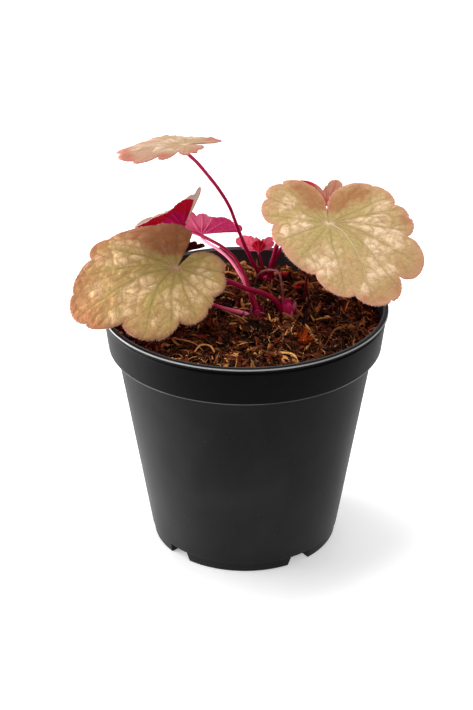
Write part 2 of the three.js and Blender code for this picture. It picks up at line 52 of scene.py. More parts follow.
LATTICE = 24  # random numbers along each side of the noise's lattice
THROAT = 18  # points of a blade's outline in the gap beside its joint
LOG = logging.getLogger("heuchera")

Colour = tuple[float, float, float]
Point = tuple[float, float, float]
Pair = tuple[float, float]
Array = np.ndarray
Material = bpy.types.Material
Body = bpy.types.Object
Value = Union["Sock", float, tuple]


# ---- shader sockets
class Sock:
    """A shader output that takes part in sums like a number."""

    def __init__(self, graph: "Graph", out: bpy.types.NodeSocket) -> None:
        """Keeps the graph that the output belongs to, and the output."""
        self.graph = graph
        self.out = out

    def _math(self, operation: str, first: Value, second: Value) -> "Sock":
        """Returns a Math node's result for two values."""
        return self.graph.node("ShaderNodeMath", {0: first, 1: second}, operation=operation)

    def __add__(self, other: Value) -> "Sock":
        """Returns self + other."""
        return self._math("ADD", self, other)

    def __radd__(self, other: Value) -> "Sock":
        """Returns other + self."""
        return self._math("ADD", other, self)

    def __sub__(self, other: Value) -> "Sock":
        """Returns self - other."""
        return self._math("SUBTRACT", self, other)

    def __rsub__(self, other: Value) -> "Sock":
        """Returns other - self."""
        return self._math("SUBTRACT", other, self)

    def __mul__(self, other: Value) -> "Sock":
        """Returns self * other."""
        return self._math("MULTIPLY", self, other)

    def __rmul__(self, other: Value) -> "Sock":
        """Returns other * self."""
        return self._math("MULTIPLY", other, self)

    def __pow__(self, other: Value) -> "Sock":
        """Returns self raised to other."""
        return self._math("POWER", self, other)

    def __rpow__(self, other: Value) -> "Sock":
        """Returns other raised to self."""
        return self._math("POWER", other, self)

    def ease(self, low: float, high: float) -> "Sock":
        """Returns 0 to 1 as the value goes from low to high, by a smooth step with held ends."""
        sockets = {0: self, 1: low, 2: high}
        return self.graph.node("ShaderNodeMapRange", sockets, interpolation_type="SMOOTHSTEP")

    def near_whole(self) -> "Sock":
        """Returns how far the value lies from the nearest whole number."""
        return self.graph.node("ShaderNodeMath", {0: self, 1: 0.5}, operation="PINGPONG")


class Graph:
    """One material's node tree, ready to be filled."""

    def __init__(self, name: str) -> None:
        """Starts an empty material called name."""
        self.material = bpy.data.materials.new(name)
        self.material.use_nodes = True
        self.tree = self.material.node_tree
        self.tree.nodes.clear()

    def node(self, kind: str, sockets: dict | None = None, output: int = 0, **settings: Any) -> Sock | None:
        """Makes one node, fills its sockets, and hands back one of its outputs.

        Args:
            kind: Blender's name for the node.
            sockets: Values or outputs to put in, by socket name or number.
            output: Number of the output wanted.
            settings: Properties of the node.

        Returns:
            The output, or None from a node that has none.
        """
        made = self.tree.nodes.new(kind)
        for key, value in settings.items():
            setattr(made, key, value)
        for key, value in (sockets or {}).items():
            if isinstance(value, Sock):
                self.tree.links.new(value.out, made.inputs[key])
            else:
                made.inputs[key].default_value = value
        return Sock(self, made.outputs[output]) if len(made.outputs) else None

    def place(self) -> Sock:
        """Returns the point's place on the object, in metres."""
        return self.node("ShaderNodeTexCoord", output=3)

    def chart(self) -> Sock:
        """Returns the surface's own map."""
        return self.node("ShaderNodeUVMap", uv_map="chart")

    def axis(self, number: int) -> Sock:
        """Returns one axis of the place in metres: 0 to the right, 1 to the rear, 2 upwards."""
        return self.node("ShaderNodeSeparateXYZ", {"Vector": self.place()}, output=number)

    def mark(self, mark: "Mark") -> Sock:
        """Returns a value that the mesh carries."""
        return self.node("ShaderNodeAttribute", output=2, attribute_name=mark.value)

    def cloud(self, where: Sock, scale: float, detail: float = 3.0, stretch: float = 0.0) -> Sock:
        """Returns soft noise from 0 to 1: clouds per unit, octaves, and how far they are pulled."""
        sockets = {"Vector": where, "Scale": scale, "Detail": detail, "Distortion": stretch}
        return self.node("ShaderNodeTexNoise", sockets)

    def cells(self, where: Sock, scale: float, feature: str = "DISTANCE_TO_EDGE") -> Sock:
        """Returns the distance to the nearest cell border, or to its middle with feature F1."""
        return self.node("ShaderNodeTexVoronoi", {"Vector": where, "Scale": scale}, feature=feature)

    def shifted(self, where: Sock, amount: float, scale: float) -> Sock:
        """Returns where, pushed about by noise.

        Args:
            where: Coordinates.
            amount: How far, in the same units.
            scale: Clouds per unit of the noise.

        Returns:
            The bent coordinates.
        """
        noise = self.node("ShaderNodeTexNoise", {"Vector": where, "Scale": scale, "Detail": 2.0}, output=1)
        middle = self.node("ShaderNodeVectorMath", {0: noise, 1: (0.5, 0.5, 0.5)}, operation="SUBTRACT")
        return self.node("ShaderNodeVectorMath", {0: where, 1: self.shade(middle, amount)}, operation="ADD")

    def stretched(self, where: Sock, scale: Point, turn: Point = (0.0, 0.0, 0.0)) -> Sock:
        """Returns where, turned by radians about each axis and scaled along it."""
        return self.node("ShaderNodeMapping", {"Vector": where, "Rotation": turn, "Scale": scale})

    def mix(self, first: Value, second: Value, share: Value) -> Sock:
        """Returns the first colour at share 0, the second at share 1, and their mixture between."""
        first, second = (c if isinstance(c, Sock) else (*c, 1.0) for c in (first, second))
        return self.node("ShaderNodeMix", {0: share, 6: first, 7: second}, output=2, data_type="RGBA")

    def shade(self, colour: Sock, amount: Value) -> Sock:
        """Returns the colour made lighter or darker by a factor."""
        return self.node("ShaderNodeVectorMath", {0: colour, 3: amount}, operation="SCALE")

    def bump(self, height: Sock, distance: float) -> Sock:
        """Returns the normal of a surface raised by height times distance millimetres."""
        return self.node("ShaderNodeBump", {"Height": height, "Distance": distance * MM, "Strength": 1.0})

    def finish(
        self, colour: Value, roughness: Value, normal: Sock | None = None, **others: Value
    ) -> Material:
        """Ends the graph with a surface shader.

        Args:
            colour: Base colour.
            roughness: Roughness.
            normal: Bumped normal, if any.
            others: Values of other sockets, with _ for a space in their names.

        Returns:
            The material.
        """
        sockets: dict = {"Roughness": roughness}
        sockets["Base Color"] = colour if isinstance(colour, Sock) else (*colour, 1.0)
        if normal is not None:
            sockets["Normal"] = normal
        sockets.update({key.replace("_", " "): value for key, value in others.items()})
        surface = self.node("ShaderNodeBsdfPrincipled", sockets)
        self.node("ShaderNodeOutputMaterial", {"Surface": surface})
        return self.material


# ---- meshes
class Mark(Enum):
    """Values that a mesh carries at its points for its material."""

    PUFF = "puff"
    LANE = "lane"
    GAP = "gap"
    TIER = "tier"
    PALE = "pale"
    EDGE = "edge"
    OUT = "out"
    RIB = "rib"
    BLUSH_AND_SHADE = "blush_and_shade"
    CREAM = "cream"
    ALONG = "along"
    TONE = "tone"
    WARM = "warm"


NO_FACES = np.zeros((0, 3), dtype=np.int64)


@dataclass
class Skin:
    """A surface in millimetres, with its faces, marks and chart."""

    points: Array
    quads: Array
    tris: Array = field(default_factory=lambda: NO_FACES)
    marks: dict[Mark, Array] = field(default_factory=dict)
    chart: Array | None = None
    slots: Array | None = None

    def joined(self, other: "Skin") -> "Skin":
        """Returns one skin that holds both, with the marks that both have.

        Args:
            other: The skin that comes second.

        Returns:
            The whole, without slot numbers.
        """
        shift = len(self.points)
        marks = {m: np.concatenate([v, other.marks[m]]) for m, v in self.marks.items() if m in other.marks}
        charts = [self.chart, other.chart]
        return Skin(
            np.concatenate([self.points, other.points]),
            np.concatenate([self.quads, other.quads + shift]),
            np.concatenate([self.tris, other.tris + shift]),
            marks,
            None if any(c is None for c in charts) else np.concatenate(charts),
        )

    def made(self, name: str, slot: str, materials: Sequence[Material], *replaced: str) -> None:
        """Makes the object, dresses it, and has it ride on the pot's body.

        Args:
            name: Name of the piece.
            slot: The record's material slot that it takes after; not used.
            materials: Its materials, in the order of the faces' slot numbers.
            replaced: Solids that it stands for.
        """
        mesh = bpy.data.meshes.new(name)
        mesh.vertices.add(len(self.points))
        mesh.vertices.foreach_set("co", (self.points * MM).astype(np.float32).ravel())
        corners = np.concatenate([self.quads.ravel(), self.tris.ravel()]).astype(np.int32)
        sizes = np.concatenate([np.full(len(self.quads), 4), np.full(len(self.tris), 3)])
        mesh.loops.add(len(corners))
        mesh.loops.foreach_set("vertex_index", corners)
        mesh.polygons.add(len(sizes))
        mesh.polygons.foreach_set("loop_start", np.concatenate([[0], np.cumsum(sizes)[:-1]]).astype(np.int32))
        mesh.polygons.foreach_set("use_smooth", np.ones(len(sizes), dtype=bool))
        if self.slots is not None:
            mesh.polygons.foreach_set("material_index", self.slots.astype(np.int32))
        mesh.update(calc_edges=True)
        for mark, values in self.marks.items():
            layer = mesh.attributes.new(mark.value, "FLOAT", "POINT")
            layer.data.foreach_set("value", values.astype(np.float32))
        if self.chart is not None:
            layer = mesh.uv_layers.new(name="chart")
            layer.data.foreach_set("uv", self.chart[corners].astype(np.float32).ravel())
        for material in materials:
            mesh.materials.append(material)
        piece = bpy.data.objects.new(name, mesh)
        bpy.context.scene.collection.objects.link(piece)
        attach(piece, "root")
        if replaced:
            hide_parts(*replaced)
        LOG.info("%s: %d points, %d faces", name, len(self.points), len(sizes))


def merged(skins: Sequence[Skin]) -> Skin:
    """Returns one skin that holds them all, with the marks that all have.

    Args:
        skins: The skins, in order.

    Returns:
        The whole.
    """
    whole = skins[0]
    for skin in skins[1:]:
        whole = whole.joined(skin)
    return whole


def grid_quads(rows: int, columns: int, closed: bool = True) -> Array:
    """Quads of a grid of points stored row after row.

    Args:
        rows: Rows of points.
        columns: Points in a row.
        closed: Whether the last column joins the first.

    Returns:
        Point numbers, four a quad: along a row, on to the next row, and back.
    """
    i, j = np.meshgrid(np.arange(rows - 1), np.arange(columns if closed else columns - 1), indexing="ij")
    here, beside = i * columns + j, i * columns + (j + 1) % columns
    return np.stack([here, beside, beside + columns, here + columns], -1).reshape(-1, 4)


def spread(rows: int, columns: int, low: float = -1.0) -> list[Array]:
    """Returns two grids: one goes from low to 1 down the rows, and one from -1 to 1 along them."""
    return np.meshgrid(np.linspace(low, 1, rows), np.linspace(-1, 1, columns), indexing="ij")


def edge_band(border: Array, shift: int) -> Array:
    """Quads that join a ring of point numbers to the same ring shift numbers further on."""
    after = np.roll(border, -1)
    return np.stack([border, border + shift, after + shift, after], -1)


def sheet_quads(rows: int, columns: int, flip: bool = False) -> Array:
    """Quads of a thin closed sheet whose upper grid is stored first and its under grid second.

    Args:
        rows: Rows of points.
        columns: Points in a row.
        flip: Whether to turn every face the other way round.

    Returns:
        Point numbers, four a quad: the upper grid, the under grid and the band round their border.
    """
    quads = grid_quads(rows, columns, closed=False)
    number = np.arange(rows * columns).reshape(rows, columns)
    border = np.concatenate([number[0, :-1], number[:-1, -1], number[-1, :0:-1], number[:0:-1, 0]])
    if flip:
        quads, border = quads[:, ::-1], border[::-1]
    return np.concatenate([quads, quads[:, ::-1] + number.size, edge_band(border, number.size)])


def cap_tris(ring: Array, middle: int, flip: bool = False) -> Array:
    """Triangles from a ring of point numbers to a middle point.

    Args:
        ring: Point numbers round the ring.
        middle: The middle point's number.
        flip: Whether to turn the other way round.

    Returns:
        Point numbers, three a triangle.
    """
    after = np.roll(ring, -1)
    pair = (after, ring) if flip else (ring, after)
    return np.stack([np.full(len(ring), middle), *pair], -1)


def between(limits: Pair, share: Array) -> Array:
    """Returns the value at each share of the way from the first limit to the second."""
    return limits[0] + (limits[1] - limits[0]) * share


def unit(vectors: Array) -> Array:
    """Returns the vectors at length one."""
    return vectors / np.maximum(np.linalg.norm(vectors, axis=-1, keepdims=True), 1e-9)


def walked(points: Array) -> Array:
    """Returns how far along the line each point lies."""
    return np.append(0.0, np.cumsum(np.linalg.norm(np.diff(points, axis=0), axis=1)))


def lattice_cloud(points: Array, size: float, seed: int) -> Array:
    """Smooth noise from -1 to 1: random numbers on a cubic lattice, blended with a smooth step.

    Args:
        points: Places, three columns.
        size: Spacing of the lattice in the same unit.
        seed: Seed of the numbers.

    Returns:
        One value for each point.
    """
    table = np.random.default_rng(seed).uniform(-1.0, 1.0, (LATTICE,) * 3)
    cell = np.floor(points / size)
    part = points / size - cell
    ease = part * part * (3.0 - 2.0 * part)
    low = cell.astype(np.int64) % LATTICE
    high = (low + 1) % LATTICE
    total = np.zeros(len(points))
    for corner in product((False, True), repeat=3):
        pick = [(high if far else low)[:, k] for k, far in enumerate(corner)]
        weight = [ease[:, k] if far else 1.0 - ease[:, k] for k, far in enumerate(corner)]
        total += weight[0] * weight[1] * weight[2] * table[tuple(pick)]
    return total


def smooth_path(route: Sequence[Point], step: float) -> Array:
    """Points about step apart on a centripetal Catmull-Rom curve through the route.

    Each stretch is a cubic between two points, with slopes from the square roots of the spans on
    either side. The curve is then walked at even lengths.

    Args:
        route: Points that the curve passes through.
        step: Wanted spacing.

    Returns:
        The points, three columns.
    """
    p = np.array(route, dtype=float)
    p = np.concatenate([[2 * p[0] - p[1]], p, [2 * p[-1] - p[-2]]])
    gap = np.sqrt(np.maximum(np.linalg.norm(np.diff(p, axis=0), axis=1), 1e-6))[:, None]
    before, here, after = gap[:-2], gap[1:-1], gap[2:]
    p0, p1, p2, p3 = p[:-3], p[1:-2], p[2:-1], p[3:]
    slope1 = ((p1 - p0) / before - (p2 - p0) / (before + here) + (p2 - p1) / here) * here
    slope2 = ((p2 - p1) / here - (p3 - p1) / (here + after) + (p3 - p2) / after) * here
    t = np.linspace(0.0, 1.0, 40, endpoint=False)[None, :, None]
    a, b, m, n = p1[:, None], p2[:, None], slope1[:, None], slope2[:, None]
    curve = a + m * t + (3 * (b - a) - 2 * m - n) * t**2 + (2 * (a - b) + m + n) * t**3
    curve = np.concatenate([curve.reshape(-1, 3), p2[-1:]])
    lengths = walked(curve)
    marks = np.linspace(0.0, lengths[-1], max(6, int(lengths[-1] / step)))
    return np.stack([np.interp(marks, lengths, curve[:, k]) for k in range(3)], -1)


def path_frames(path: Array) -> tuple[Array, Array]:
    """Two directions square to a path and to each other.

    The first is square to the tangent and to the one direction that the path least follows, and
    the second is square to the tangent and the first.

    Args:
        path: Points.

    Returns:
        Sides and tops, each a unit vector for every point.
    """
    tangent = unit(np.gradient(path, axis=0))
    rare = np.linalg.svd(tangent)[2][2]
    side = unit(np.cross(rare, tangent))
    return side, np.cross(tangent, side)


def tube(path: Array, radius: Array, sides: int, flat: float = 1.0, seed: int = 0) -> Skin:
    """A closed bar along a path: at each point a ring of sides points, slightly uneven.

    Ring point k lies at radius times (cos a, flat sin a) with a = 2 pi k / sides, and noise changes
    the radius by up to a twentieth. Both ends close on a middle point.

    Args:
        path: Points of the middle line.
        radius: Radius at each point.
        sides: Points in a ring.
        flat: Second radius as a share of the first.
        seed: Seed of the unevenness.

    Returns:
        The bar, with how far along each point lies and a chart in millimetres.
    """
    side, top = path_frames(path)
    angle = 2 * np.pi * np.arange(sides) / sides
    uneven = 1.0 + 0.05 * lattice_cloud(path + seed, 2.6, seed)
    r = (radius * uneven)[:, None, None]
    ring = np.cos(angle)[None, :, None] * side[:, None] + flat * np.sin(angle)[None, :, None] * top[:, None]
    body = path[:, None] + r * ring
    points = np.concatenate([body.reshape(-1, 3), path[:1], path[-1:]])
    rows = len(path)
    first, last = np.arange(sides), (rows - 1) * sides + np.arange(sides)
    tris = np.concatenate([cap_tris(first, rows * sides, True), cap_tris(last, rows * sides + 1)])
    share = np.repeat(np.linspace(0, 1, rows), sides)
    round_it = np.tile(angle, rows) / (2 * np.pi) * BAR_GIRTH
    chart = np.stack([round_it, np.repeat(walked(path), sides)], -1) * CHART_SCALE
    return Skin(
        points, grid_quads(rows, sides), tris,
        {Mark.ALONG: np.append(share, [0.0, 1.0])},
        np.concatenate([chart, chart[:1], chart[-1:]]),
    )


# ---- finishes
@dataclass(frozen=True)
class BladeFinish:
    """Colours of a blade: its upper side from joint to margin, and its underside."""

    name: str
    heart: Colour
    field: Colour
    cream: Colour
    margin: Colour
    blush_and_shade: Colour
    rib: Colour
    vein: Colour
    under: Colour
    under_rib: Colour
    under_glow: Colour
    glow: float = 0.0
    roughness: float = 0.6

    def upper(self) -> Material:
        """Quilted upper side: cream blisters with painted highlight on their tops, valleys darkened as
        painted shade, thin veins, a tinted margin and reddish spots that partly paint shade.

        Returns:
            The material.
        """
        g = Graph(f"{self.name}_upper")
        chart = g.chart()
        net = g.cells(g.shifted(chart, 0.01, 34), 50)
        broad, tan = g.cloud(chart, 9, 4, 0.4), g.cloud(chart, 16, 4, 0.3)
        mottle, grain = g.cloud(chart, 34, 5), g.cloud(chart, 300, 2)
        out, edge, puff = g.mark(Mark.OUT), g.mark(Mark.EDGE), g.mark(Mark.PUFF)
        rib = g.mark(Mark.LANE).near_whole() * g.mark(Mark.GAP)
        tier = g.mark(Mark.TIER).near_whole()
        olive = (1.1 - out - rib * 0.11 + broad * 1.1 + mottle * 0.5 - 0.8).ease(0, 0.8) * 0.9
        colour = g.mix(self.field, self.heart, olive)
        patch = g.mark(Mark.CREAM) + (mottle + broad * 0.6 - 0.9).ease(0, 0.34) * 0.35
        # Painted shade: the valleys between the blisters are darkened towards the vein colour.
        painted_valley_shade = (1 - (puff + mottle * 0.7 - 0.35).ease(0, 0.55)) * (0.22 + patch * 0.3)
        colour = g.mix(colour, self.vein, painted_valley_shade)
        # The cream patches are the blade's own mottling; their rise with the blister height is painted
        # highlight on the blister tops.
        blister = (patch * (0.45 + puff * 0.6) + mottle * 0.8 - 0.4).ease(0.05, 1) * 0.85
        colour = g.mix(colour, self.cream, blister)
        lines = (1 - rib.ease(0, 0.85)) * (0.33 - out * 0.16) + (1 - tier.ease(0.01, 0.07)) * 0.26
        lines = lines + (1 - net.ease(0, 0.09)) * 0.62 * (0.4 + out * 0.6)
        colour = g.mix(colour, self.margin, tan.ease(0.5, 0.74) * 0.22)
        # Painted shade: wide spots centred beyond the margin darken the blade's edge towards this colour; the
        # small spots are the blade's own reddish patches.
        blush_and_shade = (g.mark(Mark.BLUSH_AND_SHADE) * 1.1 + (mottle + tan - 1) * 1.1 + puff * 0.16 - 0.1).ease(0, 1.1)
        colour = g.mix(colour, self.blush_and_shade, blush_and_shade * (0.96 - puff * 0.16))
        colour = g.mix(colour, self.vein, lines * (0.3 + mottle * 1.2))
        worn = edge + mottle * 3 - 1.5
        hem = (1 - worn.ease(0.1, 1.7)) * 0.5 + (1 - worn.ease(0.8, 6)) * 0.42
        colour = g.mix(colour, self.margin, hem)
        colour = g.mix(colour, self.rib, (1 - rib.ease(0.08, 0.29)) * g.mark(Mark.PALE) * 0.9)
        colour = g.shade(colour, (0.84 + 0.32 * grain) * (0.9 + broad * 0.2))
        height = net.ease(0, 0.3) * 0.45 + grain * 0.25
        height = height + rib.ease(0, 0.4) * 0.4 + tier.ease(0, 0.08) * 0.3
        return self.ended(g, colour, self.roughness + mottle * 0.14, g.bump(height, 0.26), 0.12)

    def lower(self) -> Material:
        """Underside: one deep colour with paler raised ribs and a brighter glow where it is marked.

        Returns:
            The material.
        """
        g = Graph(f"{self.name}_lower")
        chart = g.chart()
        net = g.cells(g.shifted(chart, 0.005, 50), 60)
        mottle, grain = g.cloud(chart, 26, 5), g.cloud(chart, 300, 2)
        rib = g.mark(Mark.LANE).near_whole() * g.mark(Mark.GAP)
        tier = g.mark(Mark.TIER).near_whole()
        bright = (g.mark(Mark.BLUSH_AND_SHADE) * 1.2 + mottle * 0.5 - 0.25).ease(0.15, 1)
        colour = g.mix(self.under, self.under_glow, bright)
        ridge = (1 - rib.ease(0.1, 0.55)) * (0.75 - g.mark(Mark.OUT) * 0.5)
        ridge = ridge + (1 - tier.ease(0.02, 0.12)) * 0.22 + (1 - net.ease(0, 0.1)) * 0.12
        colour = g.mix(colour, self.under_rib, ridge)
        colour = g.shade(colour, 0.8 + 0.26 * grain + 0.14 * mottle)
        height = (1 - net.ease(0, 0.2)) * 0.4 - tier.ease(0, 0.14) * 0.4 + grain * 0.15
        return self.ended(g, colour, 0.5, g.bump(height, 0.25), 0.06)

    def ended(self, g: Graph, colour: Sock, rough: Value, normal: Sock, gloss: float) -> Material:
        """Ends a side's graph; the light that comes through a thin blade is its own glow."""
        own = {"Emission_Color": colour, "Emission_Strength": self.glow} if self.glow else {}
        return g.finish(colour, rough, normal, Specular_IOR_Level=gloss, **own)

    def fringe(self) -> Material:
        """Pale hairs, tinted by the margin and a little uneven.

        Returns:
            The material.
        """
        g = Graph(f"{self.name}_fringe")
        tint = g.cloud(g.place(), 500, 2)
        pale = tuple(0.45 + 0.5 * channel for channel in self.margin)
        return g.finish(g.mix(self.margin, pale, tint.ease(0.3, 0.6)), 0.6 + tint * 0.1)


OLIVE = BladeFinish(
    "olive", heart=(0.45, 0.335, 0.105), field=(0.45, 0.28, 0.112), cream=(0.74, 0.51, 0.285),
    margin=(0.29, 0.12, 0.062), blush_and_shade=(0.33, 0.11, 0.045), rib=(0.6, 0.34, 0.24), vein=(0.26, 0.17, 0.052),
    under=(0.33, 0.02, 0.05), under_rib=(0.45, 0.1, 0.14), under_glow=(0.4, 0.05, 0.1),
)
SUNLIT = BladeFinish(
    "sunlit", heart=(0.45, 0.35, 0.135), field=(0.5, 0.328, 0.15), cream=(0.86, 0.63, 0.42),
    margin=(0.53, 0.25, 0.16), blush_and_shade=(0.36, 0.14, 0.056), rib=(0.8, 0.58, 0.38), vein=(0.36, 0.225, 0.09),
    under=(0.33, 0.02, 0.05), under_rib=(0.45, 0.1, 0.14), under_glow=(0.4, 0.05, 0.1),
)
PEACH = BladeFinish(
    "peach", heart=(0.45, 0.32, 0.18), field=(0.5, 0.29, 0.2), cream=(0.8, 0.6, 0.47),
    margin=(0.44, 0.16, 0.12), blush_and_shade=(0.44, 0.12, 0.08), rib=(0.75, 0.5, 0.35), vein=(0.36, 0.215, 0.105),
    under=(0.36, 0.015, 0.015), under_rib=(0.45, 0.1, 0.12), under_glow=(0.42, 0.04, 0.04),
)
CRIMSON = BladeFinish(
    "crimson", heart=(0.42, 0.34, 0.28), field=(0.46, 0.37, 0.31), cream=(0.6, 0.52, 0.44),
    margin=(0.42, 0.26, 0.22), blush_and_shade=(0.42, 0.2, 0.18), rib=(0.5, 0.38, 0.32), vein=(0.35, 0.26, 0.2),
    under=(0.42, 0.004, 0.018), under_rib=(0.33, 0.004, 0.025), under_glow=(0.46, 0.006, 0.085),
    glow=0.08,
)
ROSE = BladeFinish(
    "rose", heart=(0.36, 0.045, 0.09), field=(0.36, 0.035, 0.085), cream=(0.46, 0.14, 0.18),
    margin=(0.36, 0.03, 0.08), blush_and_shade=(0.24, 0.006, 0.02), rib=(0.46, 0.12, 0.17), vein=(0.28, 0.02, 0.05),
    under=(0.6, 0.035, 0.15), under_rib=(0.66, 0.1, 0.22), under_glow=(0.68, 0.13, 0.24),
    glow=0.14,
)
SCARLET = BladeFinish(
    "scarlet", heart=(0.34, 0.014, 0.022), field=(0.38, 0.025, 0.04), cream=(0.46, 0.08, 0.1),
    margin=(0.36, 0.015, 0.03), blush_and_shade=(0.24, 0.002, 0.008), rib=(0.46, 0.07, 0.09), vein=(0.28, 0.01, 0.02),
    under=(0.9, 0.14, 0.235), under_rib=(0.58, 0.02, 0.05), under_glow=(0.32, 0.001, 0.005),
    glow=0.26,
)
# Painted shade: the rear blade's very dark colours hold the shade it lies in, over its own dark maroon.
MAROON = BladeFinish(
    "maroon", heart=(0.12, 0.03, 0.02), field=(0.14, 0.035, 0.03), cream=(0.2, 0.08, 0.06),
    margin=(0.12, 0.02, 0.02), blush_and_shade=(0.1, 0.01, 0.01), rib=(0.18, 0.04, 0.04), vein=(0.08, 0.014, 0.01),
    under=(0.055, 0.0015, 0.005), under_rib=(0.08, 0.004, 0.01), under_glow=(0.07, 0.003, 0.008),
)
WINE = BladeFinish(
    "wine", heart=(0.34, 0.19, 0.11), field=(0.36, 0.2, 0.12), cream=(0.5, 0.32, 0.2),
    margin=(0.4, 0.12, 0.1), blush_and_shade=(0.34, 0.03, 0.025), rib=(0.5, 0.24, 0.2), vein=(0.3, 0.1, 0.06),
    under=(0.6, 0.045, 0.042), under_rib=(0.56, 0.1, 0.09), under_glow=(0.58, 0.32, 0.2),
    glow=0.12,
)


@dataclass(frozen=True)
class StalkFinish:
    """Colours of a stalk from foot to blade."""

    name: str
    foot: Colour
    middle: Colour
    top: Colour
    roughness: float = 0.27

    def material(self) -> Material:
        """Smooth skin with fine streaks along the stalk, shading from foot to top.

        Returns:
            The material.
        """
        g = Graph(f"{self.name}_stalk")
        chart = g.chart()
        streak = g.cloud(g.stretched(chart, (60, 5, 1)), 2.2, 4)
        along = g.mark(Mark.ALONG)
        colour = g.mix(self.foot, self.middle, along.ease(0, 0.35))
        colour = g.mix(colour, self.top, along.ease(0.45, 1))
        colour = g.shade(colour, 0.62 + 0.7 * streak)
        normal = g.bump(streak + g.cloud(chart, 260, 2) * 0.5, 0.1)
        return g.finish(colour, self.roughness + streak * 0.16, normal, Specular_IOR_Level=0.07)


MAGENTA = StalkFinish("magenta", (0.17, 0.001, 0.018), (0.22, 0.0015, 0.024), (0.34, 0.01, 0.055))
CARMINE = StalkFinish("carmine", (0.28, 0.002, 0.03), (0.34, 0.004, 0.046), (0.46, 0.022, 0.095))
BLOSSOM = StalkFinish("blossom", (0.46, 0.04, 0.1), (0.74, 0.16, 0.27), (0.8, 0.22, 0.33))
SHEATHED = StalkFinish("sheathed", (0.66, 0.12, 0.22), (0.3, 0.003, 0.036), (0.34, 0.01, 0.055))
DARK_RED = StalkFinish("dark_red", (0.09, 0.006, 0.008), (0.15, 0.006, 0.014), (0.52, 0.16, 0.2), 0.42)
WITHERED_SKIN = StalkFinish("withered", (0.15, 0.03, 0.035), (0.19, 0.055, 0.06), (0.13, 0.025, 0.035), 0.6)
SCRAP_SKIN = StalkFinish("scrap", (0.34, 0.003, 0.008), (0.4, 0.005, 0.014), (0.22, 0.003, 0.01), 0.45)


@dataclass(frozen=True)
class LitterFinish:
    """Colours of plant litter, from dark and damp to dry and bright."""

    name: str
    damp: Colour
    brown: Colour
    tan: Colour
    gold: Colour
    russet: Colour

    def material(self) -> Material:
        """Streaked fibre whose colour follows each bit's own tone.

        Returns:
            The material.
        """
        g = Graph(f"{self.name}_litter")
        place = g.place()
        grain = g.cloud(place, 900, 4, 0.6)
        broad = g.cloud(place, 160, 3)
        tone = g.mark(Mark.TONE) + (grain - 0.5) * 0.4
        colour = g.mix(self.damp, self.brown, tone.ease(0.05, 0.5))
        colour = g.mix(colour, self.tan, tone.ease(0.48, 0.8))
        colour = g.mix(colour, self.gold, tone.ease(0.82, 1.05))
        colour = g.mix(colour, self.russet, g.mark(Mark.WARM).ease(0.6, 1) * 0.8)
        colour = g.shade(colour, 0.55 + 0.6 * grain + 0.35 * broad)
        return g.finish(colour, 0.7 + 0.2 * broad, g.bump(grain, 0.35), Specular_IOR_Level=0.06)


COMPOST = LitterFinish(
    "compost", damp=(0.008, 0.0028, 0.0014), brown=(0.085, 0.021, 0.0075), tan=(0.48, 0.185, 0.058),
    gold=(0.8, 0.42, 0.12), russet=(0.17, 0.02, 0.01),
)


@dataclass(frozen=True)
class ScaleFinish:
    """Colours of a crown's scales: fresh at foot and tip, blanched, and papery in its streaks."""

    name: str
    # Below one, the light factor darkens the fresh colour as painted shade, for a crown that lies under the
    # leaves.
    light: float = 1.0
    foot: Colour = (0.34, 0.0015, 0.052)
    tip: Colour = (0.62, 0.035, 0.15)
    blanched: Colour = (0.6, 0.2, 0.26)
    husk: Colour = (0.26, 0.05, 0.012)
    paper: Colour = (0.6, 0.22, 0.1)

    def material(self) -> Material:
        """Streaked scales: fresh at a low tone, blanched at a middle one and papery at a high one.

        Returns:
            The material.
        """
        g = Graph(f"{self.name}_scales")
        streak = g.cloud(g.stretched(g.chart(), (90, 8, 1)), 2, 4)
        along, tone = g.mark(Mark.ALONG), g.mark(Mark.TONE)
        fresh = g.mix(self.foot, self.tip, (along * 0.9 + streak * 0.4 - 0.4).ease(0.2, 1))
        # Painted shade: the fresh colour is scaled by the light factor.
        fresh = g.shade(g.mix(fresh, self.blanched, tone.ease(0.3, 0.55)), self.light)
        colour = g.mix(fresh, g.mix(self.husk, self.paper, streak), tone.ease(0.6, 0.8))
        colour = g.shade(colour, 0.75 + 0.5 * streak)
        return g.finish(colour, 0.42 + tone * 0.25, g.bump(streak, 0.16), Specular_IOR_Level=0.12)


@dataclass(frozen=True)
class DeadLeafFinish:
    """Colours of a dead leaf where it is damp and where it is crisp."""

    damp: Colour
    crisp: Colour

    def material(self, name: str) -> Material:
        """Papery dead tissue: blotched, veined and dull.

        Args:
            name: Name of the leaf.

        Returns:
            The material.
        """
        g = Graph(f"dry_{name}")
        chart = g.chart()
        net = g.cells(g.shifted(chart, 0.006, 40), 55)
        mottle = g.cloud(chart, 60, 5)
        colour = g.mix(self.damp, self.crisp, (g.mark(Mark.TONE) + mottle - 0.5).ease(0.1, 0.95))
        colour = g.mix(colour, self.damp, (1 - net.ease(0, 0.12)) * 0.6)
        colour = g.mix(colour, self.crisp, g.mark(Mark.RIB) * 0.6)
        colour = g.shade(colour, 0.7 + 0.6 * mottle)
        normal = g.bump(net.ease(0, 0.3) + mottle, 0.3)
        return g.finish(colour, 0.6 + 0.2 * mottle, normal, Specular_IOR_Level=0.03)


